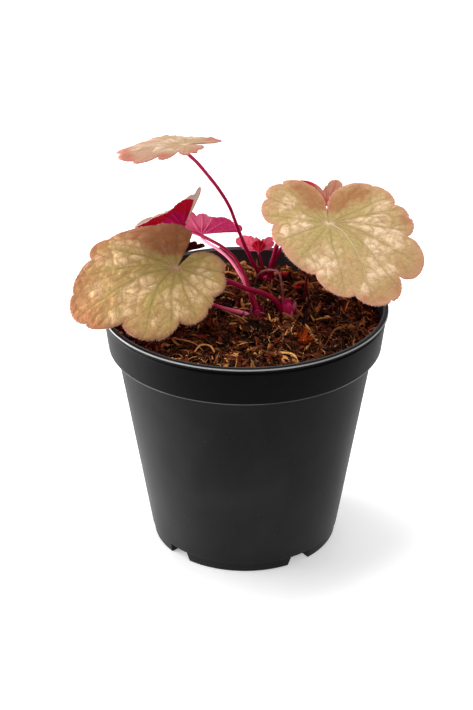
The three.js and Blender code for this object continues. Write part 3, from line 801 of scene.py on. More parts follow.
@dataclass(frozen=True)
class PlasticFinish:
    """Charcoal plastic, whose parts are told apart by height and by distance from the axis."""

    body: Colour = (0.004, 0.004, 0.0043)
    scuffed: Colour = (0.0085, 0.0082, 0.0083)
    # Painted shade: the band is darker than the body to stand in for the darker reflection it shows.
    band: Colour = (0.0012, 0.0012, 0.0013)
    # Painted light: the inner wall is far lighter than the outside, standing in for the light it catches.
    inside: Colour = (0.04, 0.04, 0.042)
    # Painted highlight: a pale grey laid on the lip and along the seam under the band.
    painted_highlight: Colour = (0.33, 0.33, 0.325)
    dust: Colour = (0.1, 0.095, 0.09)
    slope: float = 0.094
    divide: Pair = (48, 48.6)

    def material(self, height: float, band_bottom: float) -> Material:
        """A satin band darkened as painted shade, a scuffed hazier body, an inner wall lightened as painted
        light, a painted highlight on the lip and seam, and a little dust.

        The outside begins where the distance from the axis, less the slope times the height, passes
        the divide.

        Args:
            height: The pot's height.
            band_bottom: Height of the seam under the rim band.

        Returns:
            The material.
        """
        g = Graph("charcoal_plastic")
        place, x, y, high = g.place(), g.axis(0), g.axis(1), g.axis(2)
        draw = g.cloud(g.stretched(place, (1, 1, 0.08)), 260, 3)
        grain, smear = g.cloud(place, 2600, 2), g.cloud(place, 38, 5, 0.6)
        slant = g.stretched(place, (1, 0.06, 1), (0.5, 0.7, 0.3))
        scratch = g.cloud(slant, 620, 2).ease(0.68, 0.76) * g.cloud(place, 55, 3).ease(0.5, 0.7)
        fleck = 1 - g.cells(place, 420, "F1").ease(0.02, 0.11)
        speck = fleck * g.cloud(place, 90, 2).ease(0.52, 0.66)

        def above(start: float, end: float) -> Sock:
            """Returns 0 to 1 between two heights in millimetres."""
            return high.ease(start * MM, end * MM)

        near, far = self.divide
        outside = ((x * x + y * y) ** 0.5 - high * self.slope).ease(near * MM, far * MM)
        rim = above(band_bottom - 0.9, band_bottom - 0.1)
        band = rim * outside
        seam = above(band_bottom - 0.1, band_bottom + 0.1)
        line = seam * (1 - above(band_bottom + 0.4, band_bottom + 0.7)) * outside
        lip = above(height - 0.9, height - 0.5) * (1 - above(height - 0.25, height - 0.1))
        lip = lip * (0.5 + smear * 0.7)
        colour = g.mix(self.body, self.scuffed, smear.ease(0.25, 0.8))
        # Painted shade on the band.
        colour = g.mix(colour, self.band, band)
        # Painted light on the inner wall.
        colour = g.mix(colour, self.inside, rim * (1 - outside))
        # Painted highlight on the seam and the lip.
        colour = g.mix(colour, self.painted_highlight, line * smear.ease(0.2, 0.8) * 0.17 + lip)
        colour = g.mix(colour, self.dust, speck * 0.3 + scratch * 0.12)
        roughness = 0.5 + smear * 0.12 + grain * 0.06 - band * 0.12
        low = 1 - above(0, 85)
        coat = (0.07 + low * 0.2 - band * 0.07 + lip * 0.1 + line * 0.5) * (0.75 + smear * 0.5)
        return g.finish(
            colour, roughness, g.bump(grain * 0.6 + draw * 0.7 + smear, 0.08),
            Specular_IOR_Level=0.04, Coat_Weight=coat, Coat_Roughness=0.25,
        )


# ---- blades
@dataclass
class Blade:
    """A heuchera blade: a thin quilted sheet with round lobes, set by its joint, midrib and upper side.

    A lobe is (degrees from the midrib, reach at the notch where it starts, reach at its crest), and
    close ends the last lobe. A rib is (degrees where it leaves the joint, degrees at its tip, reach).
    A spot is (degrees, reach, radius). Pale ribs are (number of the rib, reach of its pale stretch).
    """

    name: str
    finish: BladeFinish
    slot: str
    joint: Point
    tip: Point  # direction of the midrib
    face: Point  # direction that the upper side looks
    span: float  # reach at which the lift, droop and wave are full
    lift: float
    droop: float
    wave: float
    waves: int
    phase: float
    fold: float  # degrees that each half turns up about the midrib
    lobes: Sequence[Point]
    close: Pair
    ribs: Sequence[Point]
    creams: Sequence[Point] = ()
    blush_and_shade_spots: Sequence[Point] = ()
    samples: int = 30  # points along each lobe
    rings: int = 60
    quilt: float = 0.55  # height of the blisters
    half: float = 0.24  # half the thickness
    crease: float = 1.6
    seed: int = 1
    ruffle: float = 0.3
    swell: float = 0.35
    pale: Sequence[tuple[int, float]] = ()
    pale_reach: float = 6.0
    blister: float = 4.7  # spacing of the blisters
    stretch: float = 1.35
    tooth: float = 1.9  # length of the margin's teeth
    hair_gap: float = 0.65
    hair_length: Pair = (0.45, 1.0)
    hair_half: float = 0.09
    hair_root: float = 0.25

    def outline(self) -> tuple[Array, Array]:
        """The margin as angles in degrees and reaches in millimetres.

        Between two notches the reach is a straight line from one to the other plus a swell to the
        crest, which goes as (4t(1-t)) to the power 0.6. After the last lobe the margin runs in to the
        throat beside the joint and out again. Small teeth are cut round the lobes.

        Returns:
            Angles and reaches.
        """
        rows = [*self.lobes, (*self.close, 0.0)]
        start, notch, crest = (np.array([row[k] for row in rows]) for k in range(3))
        i = np.repeat(np.arange(len(self.lobes)), self.samples)
        t = np.tile(np.arange(self.samples) / self.samples, len(self.lobes))
        angle = start[i] * (1 - t) + start[i + 1] * t
        swell = (crest[i] - (notch[i] + notch[i + 1]) / 2) * (4 * t * (1 - t)) ** 0.6
        reach = notch[i] * (1 - t) + notch[i + 1] * t + swell
        ends = np.array([start[-1], start[-1] + 4, start[0] + 356, start[0] + 360])
        walk = np.linspace(0, 3, THROAT + 1)[:-1]
        angle = np.append(angle, np.interp(walk, np.arange(4), ends))
        throat = np.interp(walk, np.arange(4), [notch[-1], 2.0, 2.0, notch[0]])
        flat = self.flattened(reach, angle[:-THROAT])
        arc = walked(flat)
        tooth = np.abs(np.sin(np.pi * arc / self.tooth + 0.8 * np.sin(arc / 4.1)))
        big = 0.5 + 0.5 * np.sin(arc / 2.3 + self.seed)
        reach = reach - (0.2 + 0.22 * big) * (1 - tooth) * min(1.0, self.span / 26)
        return angle, np.append(reach, throat)

    @staticmethod
    def flattened(reach: Array, degrees: Array) -> Array:
        """Returns reaches and bearings as along and across, two columns."""
        return np.stack([reach * np.cos(np.radians(degrees)), reach * np.sin(np.radians(degrees))], -1)

    def noise(self, flat: Array, size: float, number: int) -> Array:
        """Returns the blade's own smooth noise from -1 to 1, of a size in millimetres and a number."""
        place = np.column_stack([flat, np.full(len(flat), 7.0 * self.seed)])
        return lattice_cloud(place, size, self.seed + number)

    def blisters(self, flat: Array) -> tuple[Array, Array]:
        """Irregular blisters: the cells round seeded middles, longer along the radius than across it.

        Middles lie on a square lattice and are pushed about by up to half its spacing. With F1 and
        F2 the distances to the nearest two, both shortened along the radius by the blister's stretch,
        a point's depth inside its blister is F2 - F1.

        Args:
            flat: Along and across, two columns.

        Returns:
            Depth inside the blister in millimetres, and the blister's own number from 0 to 1.
        """
        count = int(1.25 * self.span / self.blister) + 1
        rng = np.random.default_rng(self.seed + 60)
        lattice = np.stack(np.meshgrid(*[np.arange(-count, count + 1)] * 2, indexing="ij"), -1).reshape(-1, 2)
        middles = (lattice + rng.uniform(-0.5, 0.5, lattice.shape)) * self.blister
        own = rng.uniform(0, 1, len(middles))
        keep = np.hypot(*middles.T) < 1.25 * self.span
        middles, own = middles[keep], own[keep]
        depth, number = [], []
        for block in np.array_split(flat, max(1, len(flat) // 2500)):
            away = unit(block + 1e-6)
            gap = block[:, None] - middles[None]
            along = (gap * away[:, None]).sum(2)
            square = (gap**2).sum(2) - along**2 * (1 - 1 / self.stretch**2)
            order = np.argpartition(square, 2, axis=1)[:, :2]
            pair = np.sqrt(np.take_along_axis(square, order, 1))
            first = pair.argmin(1)
            depth.append(np.abs(pair[:, 1] - pair[:, 0]))
            number.append(own[order[np.arange(len(block)), first]])
        return np.concatenate(depth), np.concatenate(number)

    def veins(self, radius: Array, degrees: Array) -> dict[Mark, Array]:
        """Numbers the lanes between the ribs and the tiers of side veins along them.

        A rib's bearing eases from its first angle to its last as the square of what is left of its
        reach, and the lane number grows evenly by one from each rib to the next. With r the radius and
        d the distance to the nearest rib, the tier number is 1.9 sqrt(r) less 0.8 d / sqrt(r), half a
        tier further on in every other lane, and bent by noise. Blisters rise between the ribs, the side
        veins and their own borders, as the product of one less a share of exp(-(distance / width)
        squared) for each.

        Args:
            radius: Distance of each point from the joint.
            degrees: Bearing of each point.

        Returns:
            Lane, gap between ribs, tier, paleness of the nearest rib, puff, the blister's own number as
            tone, and the distance to the nearest rib as rib.
        """
        first, last, reach = (np.array([row[k] for row in self.ribs])[:, None] for k in range(3))
        left = np.clip(1 - radius[None] / reach, 0, 1)
        bearing = last + (first - last) * left**2
        start, end = self.lobes[0][0], self.close[0]
        wings = [np.minimum(bearing[0], start) - 14, np.maximum(bearing[-1], end) + 14]
        bearing = np.maximum.accumulate(np.stack([wings[0], *bearing, wings[1]]), axis=0)
        spans = np.maximum(np.diff(bearing, axis=0), 0.5)
        flat = self.flattened(radius, degrees)
        wander = 30.0 / np.maximum(radius, 4.0) * np.clip(radius / 8, 0, 1) * self.noise(flat, 6.0, 15)
        lane = np.clip((np.clip(degrees + wander, start - 5, end + 5) - bearing[:-1]) / spans, 0, 1).sum(0)
        low = np.clip(np.floor(lane), 0, len(spans) - 1).astype(int)
        gap = np.maximum(np.radians(spans[low, np.arange(len(lane))]) * radius, 0.05)
        near = np.abs(lane - np.round(lane)) * gap
        root = np.sqrt(np.maximum(radius, 1.0))
        tier = 1.9 * root - 0.8 * near / root + 0.5 * (low % 2) + 0.45 * self.noise(flat, 6.0, 11)
        far_pale = np.full(len(self.ribs) + 2, self.pale_reach)
        for number, far in self.pale:
            far_pale[number + 1] = far
        pale = np.clip(1.3 - radius / far_pale[np.round(lane).astype(int)], 0, 1)
        warp = [1.5 * self.noise(flat, 4.2, k) + 0.6 * self.noise(flat, 1.7, k + 1) for k in (21, 23)]
        depth, own = self.blisters(flat + np.stack(warp, -1))
        puff = (1 - 0.8 * np.exp(-((near / 1.3) ** 2))) * (1 - 0.9 * np.exp(-((depth / 1.15) ** 2)))
        puff = puff * (1 - 0.4 * np.exp(-(((tier - np.round(tier)) * root / 1.24 / 0.8) ** 2)))
        return {
            Mark.LANE: lane, Mark.GAP: gap, Mark.TIER: tier, Mark.PALE: pale, Mark.PUFF: puff, Mark.TONE: own,
            Mark.RIB: near,
        }

    @staticmethod
    def spots(flat: Array, spots: Sequence[Point]) -> Array:
        """Soft round spots: the sum of exp(-(distance / 1.3 radius) squared), held at one.

        Args:
            flat: Along and across, two columns.
            spots: The spots.

        Returns:
            One value for each point.
        """
        total = np.zeros(len(flat))
        for angle, reach, radius in spots:
            middle = reach * np.array([math.cos(math.radians(angle)), math.sin(math.radians(angle))])
            total += np.exp(-(((flat - middle) / (1.3 * radius)) ** 2).sum(1))
        return np.minimum(total, 1.0)

    def placed(self, flat: Array, height: Array) -> Array:
        """Folds the blade about its midrib, then turns and moves it to its joint.

        With a = distance across the midrib and c = the crease's softness, the slope length is
        hypot(a, c). Each half turns up by the fold: across becomes a cos f - (a / slope) h sin f, and
        height becomes (slope - c) sin f + h cos f + (1 - cos f) h c / slope.

        Args:
            flat: Along and across, two columns.
            height: Height over the joint's plane.

        Returns:
            Points, three columns.
        """
        across = flat[:, 1]
        slope = np.hypot(across, self.crease)
        sine, cosine = math.sin(math.radians(self.fold)), math.cos(math.radians(self.fold))
        wide = across * cosine - across / slope * height * sine
        high = (slope - self.crease) * sine + height * cosine + (1 - cosine) * height * self.crease / slope
        face = unit(np.array(self.face))
        tip = np.array(self.tip)
        tip = unit(tip - face * (tip @ face))
        side = np.cross(face, tip)
        return np.array(self.joint) + flat[:, :1] * tip + wide[:, None] * side + high[:, None] * face

    def lie(self, flat: Array, calm: Array | float, rim: Array | float) -> Array:
        """Height of the blade's broad form over its joint's plane.

        With s the share of the span, it is lift s - droop s^2 + wave s^2 sin(waves a + phase) at the
        bearing a, plus a broad swell and a short ruffle of noise.

        Args:
            flat: Along and across, two columns.
            calm: Share of the swell.
            rim: Share of the ruffle.

        Returns:
            The heights.
        """
        share = np.hypot(*flat.T) / self.span
        wave = np.sin(self.waves * np.arctan2(flat[:, 1], flat[:, 0]) + self.phase)
        height = self.lift * share - self.droop * share**2 + self.wave * share**2 * wave
        height += self.swell * calm * self.noise(flat, 9.0, 5)
        return height + self.ruffle * rim * self.noise(flat, 3.6, 7)

    def skin(self) -> Skin:
        """The closed blade: an upper and an under sheet on one polar grid, joined round the margin.

        Returns:
            The blade, with slot 0 above and round the margin and slot 1 below.
        """
        angle, edge = self.outline()
        count = len(angle)
        share = (np.arange(1, self.rings + 1) / self.rings) ** 0.86
        degrees = np.append(0.0, np.tile(angle, self.rings))
        radius = np.append(0.0, (share[:, None] * edge[None]).ravel())
        flat = self.flattened(radius, degrees)
        from_edge = (1 - np.append(0.0, np.repeat(share, count))) * np.append(2.0, np.tile(edge, self.rings))
        marks = self.veins(radius, degrees)
        near, lively = marks.pop(Mark.RIB), marks.pop(Mark.TONE)
        out = radius / self.span
        width = 0.62 * np.clip(1.1 - 0.8 * out, 0.25, 1.0) * min(1.0, 0.45 + self.span / 60)
        rib = np.exp(-((near / width) ** 2)) * np.clip(1.12 - 0.95 * out, 0.0, 1.0)
        puff = marks[Mark.PUFF] * np.clip(from_edge / 2.4, 0, 1) * np.clip(radius / 3, 0, 1)
        rim = np.exp(-from_edge / max(1.6, 0.085 * self.span))
        cream = self.spots(flat, self.creams) * (0.7 + 0.4 * lively) + 0.55 * np.clip(lively - 0.6, 0, 1)
        # Spots: the blade's own reddish patches, and wide ones beyond the margin that are painted shade on
        # its edge.
        blush_and_shade = np.clip(self.spots(flat, self.blush_and_shade_spots), 0, 1)
        height = self.lie(flat, np.clip(out * 2, 0, 1), rim)
        height += self.quilt * puff * (0.75 + 0.35 * lively) * (0.85 + 0.3 * cream)
        half = self.half * (1 - 0.4 * rim)
        upper = self.placed(flat, height + half - 0.12 * rib)
        under = self.placed(flat, height - half - 0.38 * rib * np.clip(1.3 - out, 0, 1))
        total = len(flat)
        ring = np.arange(count)
        quads = grid_quads(self.rings, count)[:, [0, 3, 2, 1]] + 1
        tris = cap_tris(ring + 1, 0)
        band = edge_band(1 + (self.rings - 1) * count + ring, total)
        slots = np.concatenate([
            np.zeros(len(quads)), np.ones(len(quads)), np.zeros(len(band)), np.zeros(count), np.ones(count)
        ])
        marks.update({
            Mark.PUFF: puff, Mark.EDGE: from_edge, Mark.OUT: out, Mark.CREAM: np.clip(cream, 0, 1),
            Mark.BLUSH_AND_SHADE: blush_and_shade,
        })
        return Skin(
            np.concatenate([upper, under]),
            np.concatenate([quads, quads[:, ::-1] + total, band]),
            np.concatenate([tris, tris[:, ::-1] + total]),
            {mark: np.tile(values, 2) for mark, values in marks.items()},
            np.tile(flat * CHART_SCALE + 1.7 * self.seed, (2, 1)),
            slots,
        )

    def hairs(self) -> Skin:
        """Short pale hairs round the margin: each a three-sided spike rooted a little inside it.

        Returns:
            All the hairs.
        """
        angle, edge = self.outline()
        flat = self.flattened(edge[:-THROAT], angle[:-THROAT])
        arc = walked(flat)
        rng = np.random.default_rng(self.seed + 40)
        at = np.arange(0.3, arc[-1], self.hair_gap)
        at = at + rng.uniform(-0.25, 0.25, len(at))
        foot = np.stack([np.interp(at, arc, flat[:, k]) for k in range(2)], -1)
        out = unit(foot + rng.normal(0, 0.3, foot.shape) * np.linalg.norm(foot, axis=1, keepdims=True))
        length = rng.uniform(*self.hair_length, len(at))[:, None]
        height = self.lie(foot, 1.0, 1.0)
        rise = rng.uniform(-0.25, 0.35, len(at)) * length[:, 0]
        side = np.stack([-out[:, 1], out[:, 0]], -1) * self.hair_half
        start = foot - out * self.hair_root
        corners = [
            self.placed(start + side, height - 0.04), self.placed(start - side, height - 0.04),
            self.placed(start, height + 0.07), self.placed(foot + out * length, height + rise),
        ]
        points = np.stack(corners, 1).reshape(-1, 3)
        base = 4 * np.arange(len(at))[:, None, None]
        faces = (np.array([[0, 3, 1], [1, 3, 2], [2, 3, 0], [0, 1, 2]])[None] + base).reshape(-1, 3)
        return Skin(points, np.zeros((0, 4), dtype=np.int64), faces)

    def build(self) -> None:
        """Makes the blade and its fringe of hairs."""
        skin = self.skin()
        finishes = [self.finish.upper(), self.finish.lower()]
        skin.made(f"blade_{self.name}", self.slot, finishes, f"leaf_{self.name}")
        self.hairs().made(f"hairs_{self.name}", self.slot, [self.finish.fringe()])


THIN = {"samples": 22, "rings": 32, "quilt": 0.22, "half": 0.2, "ruffle": 0.15}
TINY = {"samples": 16, "quilt": 0.15, "half": 0.18, "ruffle": 0.15}
BLADES = [
    Blade(
        "left", OLIVE, "blade_olive",
        joint=(-28.2, -4, 125.5), tip=(-0.71, -0.71, 0), face=(0, -0.375, 0.927),
        span=42, lift=3, droop=8, wave=1.1, waves=5, phase=0.6, fold=0,
        lobes=[
            (-150, 21, 26.5), (-113, 27.2, 32.3), (-77, 35.4, 39), (-55, 36.3, 41.5), (-31, 43.3, 46.8),
            (-8, 44.2, 42.6), (10, 34.9, 38.6), (35, 36.3, 34.5), (51, 27.7, 30), (78, 25.4, 24.8),
            (91, 21.9, 22.3), (131, 18.8, 18),
        ],
        close=(190, 9),
        ribs=[
            (-124, -132, 24), (-99, -107, 29), (-76, -66, 35), (-58, -42, 37), (-38, -15, 45), (-8, 27, 37),
            (30, 44, 32), (60, 64, 28), (66, 84, 24), (110, 112, 20), (150, 132, 17), (168, 166, 14),
        ],
        creams=[
            (-52, 25.2, 4.2), (-7, 19, 4), (-3, 24.5, 4), (-5, 14.5, 3), (-28.6, 33, 3.6), (-25.8, 36.7, 3),
            (37, 18.3, 3.4), (81, 11.5, 2.8), (50, 25, 2.6), (8, 30.7, 3), (3, 36.5, 2.6), (-55, 33.4, 3),
            (-84.5, 23.6, 3.2), (30, 29, 2), (-18, 40.4, 2), (46, 14, 2.4), (-66, 17, 2.6), (-75, 29, 2.6),
            (96, 15, 4), (118, 11, 3.4), (72, 19, 3), (104, 20, 2.6),
        ],
        # The last four spots, centred beyond the margin, are painted shade on the far part of the blade.
        blush_and_shade_spots=[
            (-106, 25, 6.5), (-125, 20, 6.5), (-138, 14, 5.5), (-94, 34, 5), (-112, 12, 3.5), (-70, 40, 3),
            (-55, 42, 2.5), (20, 42, 2.5), (-12, 58, 16.5), (-42, 60, 16), (-68, 52, 13), (14, 56, 12),
        ],
        samples=34, seed=3, quilt=0.78, pale=[(1, 15), (3, 14)], pale_reach=3.2, swell=0.55,
    ),
    Blade(
        "right", SUNLIT, "blade_olive",
        joint=(34.9, 14, 137.7), tip=(0.454, -0.891, 0), face=(0, -0.423, 0.906),
        span=42, lift=2, droop=5, wave=1.1, waves=5, phase=2.1, fold=0,
        lobes=[
            (-204, 10, 27), (-171, 30, 32.8), (-149, 28.9, 29.2), (-120, 22.9, 24.6), (-88, 23.4, 26.2),
            (-42, 27.4, 36), (-15, 38.4, 46), (2, 46.2, 45.3), (17, 38.8, 43.5), (51, 33, 35.8),
            (68, 34, 33.8), (84, 30.4, 32.8), (110, 29.8, 24.2),
        ],
        close=(149.5, 12),
        ribs=[
            (-178, -186, 24), (-163, -169, 31), (-143, -151, 29), (-128, -131, 23), (-99, -95, 23),
            (-56, -62, 27), (-26, -20, 39), (33, -6, 43), (44, 12, 41), (56, 33, 38), (63, 55, 33),
            (72, 76, 31), (84, 92, 30), (115, 118, 25),
        ],
        creams=[
            (-150, 21, 3), (-108, 15, 3.4), (-111, 10.6, 2.6), (-29, 15.3, 3.6), (-39, 24.6, 3),
            (-27, 24.3, 3), (76, 22.5, 4), (56, 17.2, 3.4), (46.6, 24, 3.8), (41, 30, 3.2),
            (16.6, 25, 3.8), (10.6, 31.6, 3.2), (16, 34.2, 2.6), (60, 12, 2.6), (-48, 21, 2.4),
            (1, 34, 2.4), (-103, 19.6, 2), (50.5, 27.4, 2.6), (-132, 12.2, 2.4), (-158.5, 20.5, 2),
            (28, 20, 2.4), (-8, 38, 2.6), (90, 26, 2.6),
        ],
        # The last two spots, centred beyond the margin, are painted shade on the far part of the blade.
        blush_and_shade_spots=[
            (-190, 14, 5.5), (-196, 24, 5), (-182, 27, 4), (128, 12, 4.5), (-12, 44, 2.6), (114, 22, 4.5),
            (66, 34, 2.6), (24, 60, 15), (-4, 60, 11),
        ],
        samples=31, seed=5, quilt=0.76, pale=[(7, 32)], pale_reach=2.6, swell=0.55,
    ),
    Blade(
        "top", PEACH, "blade_rose", joint=(-24.4, 10, 174.1), tip=(-1, -0.09, 0), face=(0, 0.12, 0.993),
        span=29, lift=2.5, droop=6.5, wave=0.9, waves=5, phase=1.2, fold=0,
        lobes=[
            (-170, 8, 17), (-140, 15, 21.5), (-108, 19, 23), (-78, 20, 23.5), (-48, 21, 25), (-20, 23, 28),
            (6, 25.5, 28.5), (30, 24.5, 24.8), (51, 17.5, 20.4), (74, 12, 16.4), (96, 12.6, 13.4),
            (116, 9, 9.6),
        ],
        close=(160, 5),
        ribs=[
            (-150, -154, 15), (-128, -124, 18), (-100, -94, 21), (-62, -62, 21), (-28, -34, 22),
            (-14, -8, 25), (4, 16, 25), (30, 40, 21), (56, 62, 17), (84, 84, 14), (112, 108, 11),
        ],
        creams=[
            (-28, 9.6, 3), (36, 13.3, 2.6), (-13, 19.3, 2.6), (-45, 18.8, 2.6), (-56, 7, 2.2), (9, 21.9, 2.2),
            (-90, 14, 2.8), (5, 10, 2.6), (62, 11, 2), (-110, 10, 2.2), (-2, 15, 2.4),
        ],
        blush_and_shade_spots=[(4, 27, 4), (24, 27, 3.4), (-20, 27, 3), (60, 18, 3), (110, 12, 3.5), (-150, 16, 3.5)],
        samples=24, rings=40, seed=7, quilt=0.72, pale_reach=3, blister=3.8,
    ),
    Blade(
        "folded", CRIMSON, "blade_red",
        joint=(-26.4, 32, 130.1), tip=(-0.99, -0.12, -0.1), face=(-0.06, 0, 1),
        span=20, lift=0.6, droop=0.6, wave=0.3, waves=4, phase=0.4, fold=66,
        lobes=[
            (-124, 13, 18.6), (-115, 14.8, 13.8), (-100, 12, 11.2), (-84, 10, 9.1), (-60, 8.7, 9.8),
            (-40, 10.4, 12), (-25, 13.2, 17), (-8, 20, 21), (8, 19.4, 17), (20, 15.8, 14.8), (36, 13.5, 12.7),
            (56, 12, 12.4), (72, 12.8, 14.4), (88, 15.2, 16.6),
        ],
        close=(108, 15.8),
        ribs=[
            (-119, -119, 18), (-94, -92, 11), (-68, -66, 10), (-42, -34, 15), (-6, -3, 20), (14, 15, 16),
            (40, 46, 12), (66, 66, 13), (94, 98, 15),
        ],
        blush_and_shade_spots=[(36, 5, 3), (62, 6, 3)],
        seed=9, **THIN,
    ),
    Blade(
        "pink", ROSE, "blade_pink",
        joint=(-18.5, 40, 122.4), tip=(0.995, -0.06, -0.075), face=(0, 0.53, 0.85),
        span=16, lift=0.8, droop=0.8, wave=0.3, waves=3, phase=1.9, fold=52,
        lobes=[
            (-160, 4.5, 9.4), (-134, 10.2, 13.2), (-104, 9.6, 10.9), (-74, 9.9, 10.4), (-52, 11.2, 14),
            (-21, 14.9, 17.8), (-3, 15.8, 15.2), (14, 13.6, 12.8), (38, 10.4, 10.6), (66, 9, 9.6),
            (98, 8, 8.4),
        ],
        close=(134, 6),
        ribs=[
            (-146, -147, 8.5), (-122, -119, 12), (-92, -89, 10), (-66, -63, 9.6), (-38, -36, 13),
            (-10, -12, 17), (8, 6, 14), (28, 26, 12), (54, 52, 10), (84, 82, 9), (112, 116, 8),
        ],
        blush_and_shade_spots=[(-120, 8, 3.5), (-80, 9, 3)],
        seed=11, **THIN,
    ),
    Blade(
        "small", SCARLET, "blade_red", joint=(6.2, 42, 113.5), tip=(0, -0.44, 0.9), face=(0, 0.9, 0.44),
        span=9, lift=3.4, droop=1.2, wave=0.5, waves=5, phase=0, fold=0,
        lobes=[
            (-128, 3.6, 6.4), (-88, 6.8, 10.8), (-56, 8.8, 9.6), (-36, 7.8, 8.1), (-18, 5.8, 6.7),
            (-3, 5.4, 5.2), (12, 4, 5.6), (26, 5.2, 8.4), (56, 7, 6.4),
        ],
        close=(112, 3),
        ribs=[(-100, -96, 7), (-66, -66, 8), (-30, -32, 7), (-4, -4, 5), (26, 34, 6), (70, 62, 6)],
        blush_and_shade_spots=[(0, 2.4, 1.8), (-24, 1.5, 1.6), (24, 1.5, 1.6)],
        rings=18, seed=13, **TINY,
    ),
    Blade(
        "behind", WINE, "blade_red", joint=(36.3, 46, 134.4), tip=(0, 0.1, 1), face=(0, 1, -0.1),
        span=13, lift=1.5, droop=2, wave=0.7, waves=3, phase=0.9, fold=0,
        lobes=[
            (-146, 6, 10), (-110, 9, 13), (-76, 11, 15.8), (-47, 15.2, 10.6), (-25, 5.6, 6.9),
            (-4, 7.6, 10.5), (41, 9.1, 10.2), (66, 9.4, 10.8), (104, 8.6, 9),
        ],
        close=(146, 5),
        ribs=[
            (-128, -128, 9), (-93, -93, 12), (-64, -61, 15), (-40, -36, 9), (-14, -14, 6), (16, 18, 10),
            (50, 54, 9.5), (84, 85, 10), (124, 125, 8),
        ],
        blush_and_shade_spots=[(12, 7, 5), (30, 6, 4.5), (-8, 4, 3)],
        rings=22, seed=15, **TINY,
    ),
    Blade(
        "rear", MAROON, "blade_maroon",
        joint=(-32.6, 45, 108.9), tip=(0.745, 0.655, -0.06), face=(0.04, 0.02, 1),
        span=20, lift=0.6, droop=0.6, wave=0.3, waves=4, phase=2.6, fold=72,
        lobes=[
            (-150, 5, 8.2), (-118, 7.6, 9.8), (-88, 8.8, 10.8), (-60, 10, 11.9), (-38, 11, 14.2),
            (-15, 14.6, 19.4), (8, 13.6, 11), (30, 8, 7.4), (60, 6.6, 7), (94, 6, 6.6),
        ],
        close=(132, 5.5),
        ribs=[
            (-132, -134, 8), (-104, -103, 9), (-76, -74, 9.6), (-52, -49, 9.6), (-28, -26, 12.5),
            (-3, -4, 18), (18, 19, 12), (44, 45, 9.6), (76, 77, 9), (112, 113, 8),
        ],
        seed=17, **THIN,
    ),
    Blade(
        "young", SCARLET, "blade_pink", joint=(22, 42, 122), tip=(0.5, -0.6, 0.3), face=(-0.2, -0.35, 0.92),
        span=8, lift=2.4, droop=0.8, wave=0.4, waves=3, phase=0, fold=0,
        lobes=[
            (-140, 4, 6.6), (-92, 6, 7.6), (-50, 6.4, 8.2), (-12, 6.8, 8.4), (26, 6.6, 8), (64, 6, 7.2),
            (102, 5, 5.6),
        ],
        close=(140, 4),
        ribs=[(-110, -114, 6), (-68, -70, 6), (-30, -31, 7), (6, 7, 7), (44, 45, 7), (84, 84, 6)],
        rings=16, seed=19, **TINY,
    ),
]


# ---- stalks
@dataclass
class Stalk:
    """A leaf stalk from inside its crown to the underside of its blade."""

    name: str
    radius: float
    foot: float
    route: Sequence[Point]
    finish: StalkFinish
    sides: int = 14
    step: float = 0.9
    flare: float = 0.3

    def skin(self, blade: Blade) -> Skin:
        """A slightly flattened bar that narrows from its sheathed foot and widens under the blade.

        With t the share of the length, the radius is the plain radius plus the foot's excess times
        the square of what is left of the first two fifths, plus a small flare over the last twentieth.

        Args:
            blade: The blade on its end.

        Returns:
            The bar.
        """
        face = unit(np.array(blade.face))
        joint = np.array(blade.joint)
        path = smooth_path([*self.route, tuple(joint - 2.2 * face), tuple(joint - 0.1 * face)], self.step)
        t = np.linspace(0, 1, len(path))
        radius = self.radius + (self.foot - self.radius) * np.clip(1 - t / 0.4, 0, 1) ** 2
        radius = radius * (1 + self.flare * np.clip((t - 0.95) / 0.05, 0, 1) ** 2)
        return tube(path, radius, self.sides, flat=0.9, seed=len(self.name))

    def build(self, blade: Blade) -> None:
        """Makes the stalk."""
        self.skin(blade).made(f"stalk_{self.name}", "stalk", [self.finish.material()], f"petiole_{self.name}")


